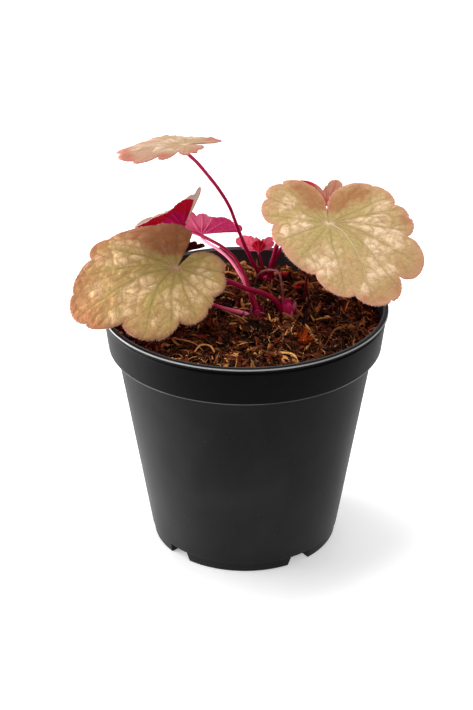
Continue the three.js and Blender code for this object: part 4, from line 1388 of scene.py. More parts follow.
STALKS = [
    Stalk("left", 1.05, 1.5, [
        (16.6, 1, 96.5), (16.3, 0.9, 100.4), (15.5, 0.8, 103.2), (13, 0.7, 108), (8.1, 0.5, 111.7),
        (0.1, 0, 114.5), (-7.9, -0.6, 118.3), (-18, -2.6, 121.6),
    ], MAGENTA),
    Stalk("right", 1.1, 1.3, [
        (10.6, 37, 100), (11.1, 36.8, 106), (12.6, 36.4, 112.4), (14.2, 35.6, 119), (19.5, 30, 127),
        (27, 21, 132.6),
    ], CARMINE, flare=0.9),
    Stalk("top", 0.76, 1.1, [
        (8.2, 37.8, 100), (6.2, 35.9, 105), (2.8, 33.1, 112.9), (-0.2, 30.2, 121), (-3.5, 26.8, 131.5),
        (-6.5, 23.3, 141.4), (-11.1, 19.6, 151.1), (-14.8, 17, 157.3), (-19.5, 13.8, 164.7),
    ], CARMINE),
    Stalk("folded", 0.75, 1.9, [
        (5.2, 1.2, 99.5), (4.9, 2.6, 103), (3.6, 4.8, 106.6), (1.9, 7, 110.6), (-0.2, 9.8, 115.8),
        (-4, 13.9, 121.4), (-8.9, 18.2, 124.8), (-14.4, 22.6, 126.4), (-20, 27, 127.4),
    ], MAGENTA),
    Stalk("pink", 0.66, 0.9, [
        (3.6, 5.8, 99.5), (3.5, 6.8, 102.6), (2.4, 9.2, 106.2), (0, 13.2, 110.4), (-3.3, 17.8, 114.9),
        (-6.9, 22.4, 118.2), (-12, 28.6, 120), (-15.6, 33.4, 120.2),
    ], BLOSSOM),
    Stalk("small", 0.6, 0.8, [
        (8.2, 41.4, 100), (7.7, 41.4, 103.9), (7.4, 41.6, 107), (6.6, 42, 110.4),
    ], CARMINE),
    Stalk("behind", 0.6, 0.75, [
        (24.9, 16.6, 94), (25.1, 17, 100), (26.1, 19.4, 107.8), (27.4, 23, 114.5), (31, 28.4, 124.2),
        (34.6, 33.2, 131.4), (35.7, 37.4, 134.2),
    ], DARK_RED),
    Stalk("rear", 0.95, 1.3, [
        (3.8, 0.4, 99), (1.2, 0.9, 101.6), (-4.3, 2, 102.9), (-8.9, 3.6, 103.4), (-14.4, 6, 104.4),
        (-22, 12, 106.2), (-28.8, 25, 106.8), (-31.8, 36, 105.6), (-32.5, 41.6, 105.2),
    ], SHEATHED),
    Stalk("young", 0.85, 1.1, [
        (11.8, 40.8, 100), (12.2, 40.6, 106), (14.1, 40.8, 111.4), (16.6, 41.2, 115.4),
    ], CARMINE),
]


@dataclass
class WitheredStem:
    """A dead stalk that arches over from the rear crown to the right one."""

    radius: float = 0.55
    route: Sequence[Point] = (
        (3.2, 32.2, 95), (3.8, 31.8, 100), (5.1, 31, 104.6), (6.3, 29.5, 107.6), (8.7, 27, 110.3),
        (12.3, 23, 112.4), (14.4, 19, 113.1), (15.5, 14.5, 111.3), (16, 10.4, 107), (16.2, 9.2, 100),
        (16.2, 9, 95),
    )

    def build(self) -> None:
        """Makes a shrivelled bar whose radius wanders along its length."""
        path = smooth_path(self.route, 0.7)
        number = np.arange(len(path))
        radius = self.radius * (1 + 0.16 * np.sin(number * 0.9) + 0.12 * np.sin(number * 2.3))
        skin = tube(path, radius, sides=10, flat=0.75, seed=21)
        skin.made("withered_stalk", "dead_stalk", [WITHERED_SKIN.material()], "withered_stem")


# ---- crowns
@dataclass(frozen=True)
class Scale:
    """One sheathing scale: its bearing, half width in degrees, height, belly, lean out and tint."""

    bearing: float
    spread: float
    height: float
    belly: float
    lean: float
    tint: float


@dataclass
class Crown:
    """A short crown of sheathing scales that wrap the stalks' feet."""

    name: str
    at: Pair
    scales: Sequence[Scale]
    # Below one, painted shade on the scales' fresh colour.
    light: float = 1.0
    ground: float = 99.6
    depth: float = 3.0
    thick: float = 0.28
    rows: int = 18
    columns: int = 14
    core_rows: int = 14
    core_sides: int = 20

    def scale_skin(self, scale: Scale) -> Skin:
        """A closed pointed sheet bent round the crown.

        With v from 0 at the foot to 1 at the tip and u from -1 to 1 across, the radius is the belly
        times (0.85 + 0.3 sin(2.4 v)) plus the lean times v squared and a ripple of 0.12 mm, and the
        angle from the bearing is u times the spread times (1 - v^3.2) to the power 0.75.

        Args:
            scale: The scale's sizes.

        Returns:
            The closed sheet.
        """
        v, u = spread(self.rows, self.columns, 0)
        angle = np.radians(scale.bearing + u * scale.spread * (1 - v**3.2) ** 0.75)
        faces = []
        for offset in (self.thick / 2, -self.thick / 2):
            radius = scale.belly * (0.85 + 0.3 * np.sin(2.4 * v)) + scale.lean * v**2 + offset * (1 - 0.8 * v)
            radius = radius + 0.12 * np.sin(3 * u + 5 * v + scale.bearing)
            height = self.ground - self.depth + v * (scale.height + self.depth)
            x, y = self.at[0] + radius * np.cos(angle), self.at[1] + radius * np.sin(angle)
            faces.append(np.stack([x, y, height], -1).reshape(-1, 3))
        chart = np.stack([u * 0.04 + scale.bearing, v * 0.08], -1).reshape(-1, 2)
        marks = {Mark.TONE: np.full(2 * v.size, scale.tint), Mark.ALONG: np.tile(v.ravel(), 2)}
        quads = sheet_quads(self.rows, self.columns)
        return Skin(np.concatenate(faces), quads, NO_FACES, marks, np.tile(chart, (2, 1)))

    def core(self) -> Skin:
        """The solid middle, turned round the crown's axis and closed at both ends.

        With t from 0 at the foot to 1 at the top, the radius is 0.85 of the widest scale's belly
        times sqrt(1 - t^2.4).

        Returns:
            The closed body.
        """
        rows, sides = self.core_rows, self.core_sides
        rise = np.linspace(0, 1, rows)
        radius = max(s.belly for s in self.scales) * 0.85 * np.sqrt(np.clip(1 - rise**2.4, 0, 1)) + 0.02
        z = self.ground - self.depth + rise * (max(s.height for s in self.scales) * 0.72 + self.depth)
        turn = 2 * np.pi * np.arange(sides) / sides
        x, y = self.at[0] + np.outer(radius, np.cos(turn)), self.at[1] + np.outer(radius, np.sin(turn))
        ring = np.stack([x, y, np.repeat(z[:, None], sides, 1)], -1).reshape(-1, 3)
        points = np.concatenate([ring, [[*self.at, z[0]], [*self.at, z[-1] + 0.1]]])
        first, last, total = np.arange(sides), (rows - 1) * sides + np.arange(sides), rows * sides
        tris = np.concatenate([cap_tris(first, total, True), cap_tris(last, total + 1)])
        along = np.append(np.repeat(rise, sides), [0, 1])
        chart = np.stack([np.append(np.tile(turn, rows) * 0.01, [0, 0]), along * 0.08], -1)
        marks = {Mark.TONE: np.zeros(total + 2), Mark.ALONG: along}
        return Skin(points, grid_quads(rows, sides), tris, marks, chart)

    def build(self) -> None:
        """Makes the crown in one piece."""
        skin = merged([self.core(), *(self.scale_skin(scale) for scale in self.scales)])
        finish = ScaleFinish(self.name, self.light)
        skin.made(f"scales_{self.name}", "stalk", [finish.material()], f"crown_{self.name}")


CROWNS = [
    # The left crown's light of 0.6 is painted shade from the leaves above it.
    Crown("left", (5.2, 1.4), [
        Scale(-95, 80, 5.2, 2.3, 0.0, 0.1), Scale(165, 60, 6.2, 2.5, 0.1, 0.5),
        Scale(20, 70, 5.8, 2.3, 0.0, 0.15), Scale(-150, 50, 4.4, 2.6, 0.5, 0.42),
        Scale(75, 55, 4.0, 2.6, 0.5, 0.2), Scale(-60, 55, 1.4, 2.9, 0.5, 0.85),
    ], 0.6),
    Crown("right", (18.3, 1.8), [
        Scale(-110, 85, 7.6, 2.5, -0.6, 0.05), Scale(-10, 75, 8.2, 2.6, 0.1, 0.46),
        Scale(100, 80, 9.0, 2.4, -0.6, 0.1), Scale(175, 70, 10.6, 2.4, 0.1, 0.1),
        Scale(-62, 40, 4.4, 3.2, 2.6, 0.95), Scale(-104, 36, 3.8, 3.2, 1.5, 0.85),
        Scale(-20, 36, 4.8, 3.2, 2.4, 0.9), Scale(-74, 40, 8.0, 2.6, 0.1, 0.16),
        Scale(-134, 34, 8.2, 2.5, 0.2, 0.1), Scale(-40, 34, 8.6, 2.6, 0.2, 0.42),
        Scale(14, 40, 7.6, 2.7, 0.4, 0.46), Scale(-165, 26, 6.4, 2.5, 0.5, 0.3),
    ]),
    Crown("rear", (9.8, 39.4), [
        Scale(-100, 70, 3.6, 3.2, 0.4, 0.1), Scale(-20, 60, 3.4, 3.4, 0.6, 0.2),
        Scale(170, 70, 3.6, 3.2, 0.5, 0.15), Scale(80, 70, 3.8, 3.3, 0.4, 0.15),
        Scale(-60, 50, 1.4, 3.7, 0.6, 0.85),
    ]),
]


# ---- compost and litter
@dataclass(frozen=True)
class Bit:
    """One kind of litter: how many, its shape's ranges in millimetres, its tones, and how it lies.

    The share called bright is lighter than the rest. Tilt is in degrees, and jitter is how far its
    rings are out of true.
    """

    name: str
    count: int
    rows: int
    sides: int
    length: Pair
    width: Pair
    thick: Pair
    bend: float
    sway: float
    tone: Pair
    bright: float
    lift: float
    tilt: float
    jitter: float
    seed: int


BITS = (
    Bit(
        "crumbs", count=1700, rows=4, sides=5, length=(0.7, 2.4), width=(0.6, 1.8), thick=(0.5, 1.3), bend=0,
        sway=0, tone=(0, 0.4), bright=0.12, lift=0.1, tilt=25, jitter=0.25, seed=51,
    ),
    Bit(
        "chips", count=800, rows=5, sides=6, length=(2.6, 9), width=(1.2, 3.8), thick=(0.35, 1), bend=0.9,
        sway=0.3, tone=(0, 0.45), bright=0.18, lift=1.1, tilt=38, jitter=0.16, seed=52,
    ),
    Bit(
        "shreds", count=1900, rows=6, sides=4, length=(3.2, 11.5), width=(0.6, 2.2), thick=(0.14, 0.3),
        bend=1.8, sway=0.6, tone=(0, 0.52), bright=0.3, lift=1.5, tilt=44, jitter=0.08, seed=53,
    ),
    Bit(
        "fibres", count=1000, rows=7, sides=3, length=(3.5, 11.5), width=(0.22, 0.5), thick=(0.16, 0.32),
        bend=1.4, sway=1, tone=(0.1, 0.7), bright=0.42, lift=1.5, tilt=28, jitter=0, seed=54,
    ),
)


@dataclass
class Compost:
    """The compost's lumpy top and the shreds, chips, fibres and crumbs that lie on it."""

    top: float = 99.6
    band_radius: float = 57.5
    reach: float = 57.0
    floor: float = 92.2
    floor_reach: float = 55.9
    crown_rise: float = 1.2
    lump: float = 1.1
    turns: int = 240
    rings: int = 64
    bits: Sequence[Bit] = BITS

    def ground(self, x: Array, y: Array) -> Array:
        """Height of the compost's smooth top: a low mound with lumps of two sizes.

        The mound is its rise times (1 - d^2) with d the share of the band's radius. The lumps are
        products of sines of x and y, and fade towards the wall as 1 - d^4 / 2.

        Args:
            x: Places to the right.
            y: Places to the rear.

        Returns:
            Heights.
        """
        d = np.hypot(x, y) / self.band_radius
        coarse = np.sin(x * 0.21 + 1.3) * np.cos(y * 0.24 - 0.4) + np.sin(x * 0.11 - y * 0.17)
        fine = np.sin(x * 0.61 + y * 0.35) * np.sin(y * 0.57 - x * 0.28 + 1.1)
        lumps = self.lump * (0.45 * coarse + 0.4 * fine) * (1 - 0.5 * d**4)
        return self.top + self.crown_rise * (1 - d * d) + lumps

    def surface(self) -> Skin:
        """The closed body: a polar grid roughened with noise of three sizes, a short wall and a floor.

        Returns:
            The body.
        """
        share = (np.arange(1, self.rings + 1) / self.rings) ** 0.8
        turn = 2 * np.pi * np.arange(self.turns) / self.turns
        x = np.append(0.0, np.outer(share * self.reach, np.cos(turn)))
        y = np.append(0.0, np.outer(share * self.reach, np.sin(turn)))
        flat = np.column_stack([x, y, np.zeros(len(x))])
        rough = 0.6 * lattice_cloud(flat, 2.9, 61) + 0.45 * lattice_cloud(flat, 1.3, 62)
        z = self.ground(x, y) + rough - 1.3
        tone = 0.1 + 0.26 * lattice_cloud(flat, 1.9, 63) + 0.14 * lattice_cloud(flat, 6.0, 64)
        last = np.arange(len(x) - self.turns, len(x))
        inward = self.floor_reach / self.reach
        low = np.column_stack([x[last] * inward, y[last] * inward, np.full(self.turns, self.floor)])
        points = np.concatenate([np.column_stack([x, y, z]), low, [[0.0, 0.0, self.floor]]])
        quads = grid_quads(self.rings + 1, self.turns)[:, [0, 3, 2, 1]] + 1
        ring = np.arange(self.turns)
        tris = np.concatenate([cap_tris(1 + ring, 0), cap_tris(len(x) + ring, len(points) - 1, True)])
        tone = np.append(np.clip(tone, 0, 0.5), np.zeros(self.turns + 1))
        return Skin(points, quads, tris, {Mark.TONE: tone, Mark.WARM: np.zeros(len(points))})

    def scattered(self, bit: Bit) -> Skin:
        """Many closed slips of one kind, strewn by a seeded rule and laid along the ground.

        A slip runs from -1/2 to 1/2 of its length in s. Its rings have the width times
        1 - 0.75 (2s)^4, and lie off its line by bend s^2 upwards and by sway s^2 and sin(6.3 s)
        sideways. Each slip is tipped and turned at random, and its points then rise with the ground
        below them.

        Args:
            bit: The kind.

        Returns:
            All the slips.
        """
        rng = np.random.default_rng(bit.seed)
        n, rows, sides = bit.count, bit.rows, bit.sides
        far = self.reach * 0.985 * np.sqrt(rng.uniform(0, 1, n))
        around = rng.uniform(0, 2 * np.pi, n)
        pick = rng.uniform(0, 1, (6, n))
        length = between(bit.length, pick[0] ** 1.8)[:, None, None]
        width = between(bit.width, pick[1] ** 1.4)[:, None, None]
        thick = between(bit.thick, pick[2])[:, None, None]
        s = np.linspace(-0.5, 0.5, rows)[None, :, None]
        angle = 2 * np.pi * (np.arange(sides) + 0.5)[None, None] / sides
        taper = 1 - 0.75 * (2 * np.abs(s)) ** 4
        wild = 1 + bit.jitter * rng.normal(0, 1, (n, rows, sides))
        bow = bit.bend * rng.normal(0, 1, n)[:, None, None] * (s**2 - 0.08) * 4
        sway = bit.sway * rng.normal(0, 1, n)[:, None, None] * (s**2 - 0.08) * 4
        curl = bit.sway * 0.4 * rng.normal(0, 1, n)[:, None, None] * np.sin(6.3 * s)
        local = np.stack([
            length * s * wild**0.5,
            width * 0.5 * taper * np.cos(angle) * wild + sway + curl,
            thick * 0.5 * taper * np.sin(angle) * wild + bow,
        ], -1)
        yaw = rng.uniform(0, 2 * np.pi, n)
        pitch, roll = np.radians(bit.tilt) * rng.normal(0, 1, (2, n)) * np.array([[0.55], [1.0]])
        cy, sy, cp, sp, cr, sr = (f(a) for a in (yaw, pitch, roll) for f in (np.cos, np.sin))
        turn = np.stack([
            np.stack([cy * cp, cy * sp * sr - sy * cr, cy * sp * cr + sy * sr], -1),
            np.stack([sy * cp, sy * sp * sr + cy * cr, sy * sp * cr - cy * sr], -1),
            np.stack([-sp, cp * sr, cp * cr], -1),
        ], 1)
        points = np.einsum("nij,nrsj->nrsi", turn, local).reshape(n, rows * sides, 3)
        points[..., 0] += (far * np.cos(around))[:, None]
        points[..., 1] += (far * np.sin(around))[:, None]
        out = np.hypot(points[..., 0], points[..., 1])
        inside = np.minimum(1.0, self.reach * 0.995 / np.maximum(out, 1e-6))
        points[..., 0] *= inside
        points[..., 1] *= inside
        points[..., 2] += self.ground(points[..., 0], points[..., 1]) + (bit.lift * (pick[3] - 0.35))[:, None]
        tone = between(bit.tone, pick[4] ** 1.5) + 0.24 * (far / self.reach) ** 4
        tone = np.where(pick[5] < bit.bright, np.minimum(1.0, tone + 0.45), tone)
        warm = rng.uniform(0, 1, n) ** 2
        block = (rows * sides) * np.arange(n)[:, None, None]
        quads = (grid_quads(rows, sides)[None] + block).reshape(-1, 4)
        fan = np.array([[0, k + 1, k] for k in range(1, sides - 1)])
        end = (rows - 1) * sides + np.array([[0, k, k + 1] for k in range(1, sides - 1)])
        tris = (np.concatenate([fan, end])[None] + block).reshape(-1, 3)
        marks = {mark: np.repeat(v, rows * sides) for mark, v in ((Mark.TONE, tone), (Mark.WARM, warm))}
        return Skin(points.reshape(-1, 3), quads, tris, marks)

    def build(self) -> None:
        """Makes the body and each kind of litter."""
        finish = COMPOST.material()
        self.surface().made("compost_top", "compost", [finish], "soil")
        for bit in self.bits:
            self.scattered(bit).made(f"litter_{bit.name}", "compost", [finish])


@dataclass(frozen=True)
class Strand:
    """A loose root, shred or bud scale laid one by one: its radius, flatness, tone, warmth and route."""

    radius: float
    flat: float
    tone: float
    warm: float
    route: Sequence[Point]

    def skin(self, seed: int) -> Skin:
        """Returns a bar that thins out at both ends, as sqrt(1.04 - t^4) with t from -1 to 1.

        Args:
            seed: Seed of its unevenness.

        Returns:
            The bar.
        """
        path = smooth_path(self.route, 0.6)
        t = np.linspace(-1, 1, len(path))
        radius = self.radius * np.sqrt(np.clip(1.04 - t**4, 0.04, 1))
        bar = tube(path, radius, sides=8, flat=self.flat, seed=seed)
        bar.marks[Mark.TONE] = np.full(len(bar.points), self.tone)
        bar.marks[Mark.WARM] = np.full(len(bar.points), self.warm)
        return bar


STRANDS = [
    Strand(0.42, 0.6, 0.62, 0.2, [
        (-9.7, -0.1, 104.6), (-5.5, -2.5, 103.8), (-1.7, -5, 103.2), (1.2, -8.6, 102.4), (3.6, -12.9, 101.4),
    ]),
    Strand(0.34, 0.6, 0.5, 0.7, [
        (-8, -0.8, 103), (-3.8, -4.3, 102.8), (-0.9, -9.2, 102.2), (2, -17.4, 101),
    ]),
    Strand(0.5, 0.5, 0.95, 0, [(44.3, 11.9, 103.4), (43.2, 8, 102.8), (42.2, 4.3, 101.5)]),
    Strand(0.8, 0.35, 0.93, 0, [(29.1, -5.6, 102.6), (32, -5.6, 103.4), (34.7, -2.6, 101.8)]),
    Strand(0.32, 0.8, 0.45, 0.7, [(24.8, 14, 101), (27.3, 13.9, 103), (28.4, 9, 103), (25.8, 6.1, 101)]),
    Strand(0.34, 0.8, 0.4, 0.8, [
        (-7.2, 15, 101.4), (-4.7, 13.8, 103.6), (-2.1, 15.8, 103.8), (0.5, 18, 101.4),
    ]),
    Strand(0.4, 0.6, 0.4, 0.7, [(22.1, 25.9, 102.6), (20.2, 17.8, 103.6), (22.2, 15, 101.4)]),
    Strand(0.7, 0.4, 0.97, 0, [(-1.7, 12.9, 101.6), (-1.3, 11, 104), (-1.2, 9.1, 102.4)]),
    Strand(0.4, 0.8, 0.86, 0, [(9.6, -0.6, 103.4), (10.2, -3, 102.6), (10.4, -5.3, 101)]),
    Strand(0.36, 0.8, 0.5, 0.75, [(13.5, 13, 101), (12.5, 11, 104.4), (10.5, 9, 105), (9.4, 6.5, 102)]),
    Strand(0.8, 0.35, 0.66, 0.8, [(5.5, 24, 101), (7, 22.5, 104), (10, 21, 104.2), (12, 20, 101)]),
    Strand(0.6, 0.35, 0.9, 0, [(-12, 22, 101), (-10, 20, 103.2), (-6, 19, 103.4), (-3, 19.5, 101)]),
    Strand(0.7, 0.35, 0.86, 0, [(-9, 28, 101), (-7, 26, 103.4), (-3.4, 25.4, 103.2), (0, 26.5, 101)]),
    Strand(0.6, 0.5, 0.7, 0.75, [
        (15.4, 43.8, 102), (18, 43, 103.6), (20.4, 41.6, 103.4), (22.4, 41.4, 101.4),
    ]),
    Strand(0.8, 0.4, 0.78, 0.3, [
        (20.4, 29.6, 101.4), (23.4, 28.4, 103.8), (27, 29.2, 103.4), (30, 27.4, 101.6),
    ]),
    Strand(0.5, 0.5, 0.93, 0.1, [(-30, -20, 101), (-26, -25, 103), (-21, -27, 102.6), (-17, -31, 101)]),
    Strand(0.4, 0.7, 0.9, 0.1, [(-21, -33, 101), (-18, -29.6, 103), (-14.4, -30, 102.8), (-12, -34, 101)]),
    Strand(0.6, 0.4, 0.95, 0.0, [(12, -33, 101), (15, -36, 102.8), (19, -37, 102.4), (21, -41, 101)]),
    Strand(0.7, 0.35, 0.66, 0.4, [(34, -22, 101.4), (37, -17, 103.6), (40, -14, 103.4), (43, -8, 101.6)]),
    Strand(1.3, 0.3, 0.8, 0.84, [(15.4, 0.2, 102.4), (17.8, -2.6, 102.9), (20.6, -5.4, 102)]),
    Strand(1.4, 0.28, 0.74, 0.86, [(20.4, 1.4, 103.2), (22.4, -0.8, 103.6), (24.4, -2.4, 102.2)]),
    Strand(0.5, 0.5, 0.5, 0.8, [(28, -16, 101.4), (31, -18, 103.2), (36, -19, 103), (40, -17, 101.2)]),
]


@dataclass(frozen=True)
class Scrap:
    """A small fresh red scrap: its middle, length, width and bearing."""

    at: Point
    length: float
    width: float
    bearing: float
    half: float = 0.16
    rows: int = 15
    columns: int = 9

    def skin(self) -> Skin:
        """A cupped pointed slip with v along and u across.

        The half width goes as (1 - v^2) to the power 0.6, and the slip rises by 0.9 u^2 and 0.6 v^2
        with a small ripple.

        Returns:
            The closed slip.
        """
        v, u = spread(self.rows, self.columns)
        cos, sin = math.cos(math.radians(self.bearing)), math.sin(math.radians(self.bearing))
        x, y = v * self.length / 2, u * self.width / 2 * np.clip(1 - v**2, 0.01, 1) ** 0.6
        lie = 0.9 * u**2 + 0.6 * v**2 + 0.15 * np.sin(4 * v + 3 * u)
        sides = [
            np.stack([x * cos - y * sin, x * sin + y * cos, lie + offset * (1.1 - v**2)], -1).reshape(-1, 3)
            for offset in (self.half, -self.half)
        ]
        chart = np.tile(np.stack([u, v], -1).reshape(-1, 2) * 0.02 + self.bearing, (2, 1))
        quads = sheet_quads(self.rows, self.columns, flip=True)
        marks = {Mark.ALONG: np.tile((v.ravel() + 1) / 2, 2)}
        return Skin(np.concatenate(sides) + self.at, quads, NO_FACES, marks, chart)


SCRAPS = [
    Scrap((22.8, 25.9, 102.2), 4.6, 3.0, 64), Scrap((17.4, 38, 103), 4.2, 2.4, 8),
    Scrap((8.2, -3.4, 101.0), 2.6, 1.8, -50), Scrap((-13.5, -8.6, 101.2), 3.2, 1.5, 20),
]


@dataclass
class LaidLitter:
    """The listed strands and scraps, one piece of each."""

    strands: Sequence[Strand] = tuple(STRANDS)
    scraps: Sequence[Scrap] = tuple(SCRAPS)
    first_seed: int = 70

    def build(self) -> None:
        """Makes the strands and the scraps."""
        strands = merged([strand.skin(self.first_seed + k) for k, strand in enumerate(self.strands)])
        strands.made("litter_strands", "compost", [COMPOST.material()])
        scraps = merged([scrap.skin() for scrap in self.scraps])
        scraps.made("litter_red_scraps", "stalk", [SCRAP_SKIN.material()])


@dataclass
class DryLeaf:
    """A dead leaf curled on the compost."""

    name: str
    at: Point
    length: float
    width: float
    turn: float
    curl: float
    roll: float
    lean: float
    seed: int
    finish: DeadLeafFinish
    half: float = 0.13
    rows: int = 46
    columns: int = 30

    def skin(self) -> Skin:
        """A closed crinkled sheet.

        With u along and v across from -1 to 1, the half width goes as 0.12 + 0.88 sqrt(1 - u^2) with
        a ragged edge, and the height is curl u^2 + roll v^2 plus crinkles and a crease along the
        middle.

        Returns:
            The sheet.
        """
        u, v = spread(self.rows, self.columns)
        ragged = 1 + (0.24 * np.sin(9 * u + self.seed) + 0.16 * np.sin(23 * u + 2 * self.seed)) * np.abs(v)
        half = self.width / 2 * (0.12 + 0.88 * np.sqrt(np.clip(1 - u * u, 0, 1))) * ragged
        level = np.full(u.shape, 5.0 * self.seed)
        flat = np.stack([u * self.length / 2, v * half * (1 - 0.1 * v * v), level], -1).reshape(-1, 3)
        crinkle = 0.42 * lattice_cloud(flat, 1.5, self.seed) + 0.5 * lattice_cloud(flat, 3.4, self.seed + 1)
        lie = self.curl * u**2 + self.roll * v**2 + 0.35 * np.sin(4 * u + 2 * v)
        lie -= 0.5 * np.exp(-((v / 0.12) ** 2))
        lean, turn = math.radians(self.lean), math.radians(self.turn)
        sides = []
        for offset in (self.half, -self.half):
            x, y, z = flat[:, 0], flat[:, 1], lie.ravel() + crinkle + offset
            y, z = y * math.cos(lean) - z * math.sin(lean), y * math.sin(lean) + z * math.cos(lean)
            x, y = x * math.cos(turn) - y * math.sin(turn), x * math.sin(turn) + y * math.cos(turn)
            sides.append(np.stack([x, y, z], -1) + self.at)
        tone = 0.5 + 0.5 * lattice_cloud(flat, 3.0, self.seed + 2)
        rib = np.exp(-((v.ravel() * self.width / 2 / 0.3) ** 2))
        return Skin(
            np.concatenate(sides), sheet_quads(self.rows, self.columns, flip=True), NO_FACES,
            {Mark.TONE: np.tile(tone, 2), Mark.RIB: np.tile(rib, 2)},
            np.tile(flat[:, :2] * CHART_SCALE + self.seed, (2, 1)),
        )

    def build(self) -> None:
        """Makes the dead leaf."""
        materials = [self.finish.material(self.name)]
        self.skin().made(f"dead_{self.name}", "dead_leaf", materials, f"dry_leaf_{self.name}")


DRY_LEAVES = [
    DryLeaf(
        "right", (23.6, -24, 100.6), length=11, width=7.5, turn=108, curl=2.4, roll=2.4, lean=16, seed=31,
        finish=DeadLeafFinish((0.06, 0.004, 0.001), (0.3, 0.042, 0.005)),
    ),
    DryLeaf(
        "front", (3.6, -12.6, 101), length=15, width=10, turn=22, curl=1.4, roll=1.9, lean=8, seed=33,
        finish=DeadLeafFinish((0.007, 0.0024, 0.0014), (0.05, 0.013, 0.006)),
    ),
    DryLeaf(
        "left", (-10.4, -12.2, 101), length=13, width=6, turn=-24, curl=1.6, roll=1.4, lean=-8, seed=35,
        finish=DeadLeafFinish((0.04, 0.008, 0.004), (0.2, 0.04, 0.014)),
    ),
]


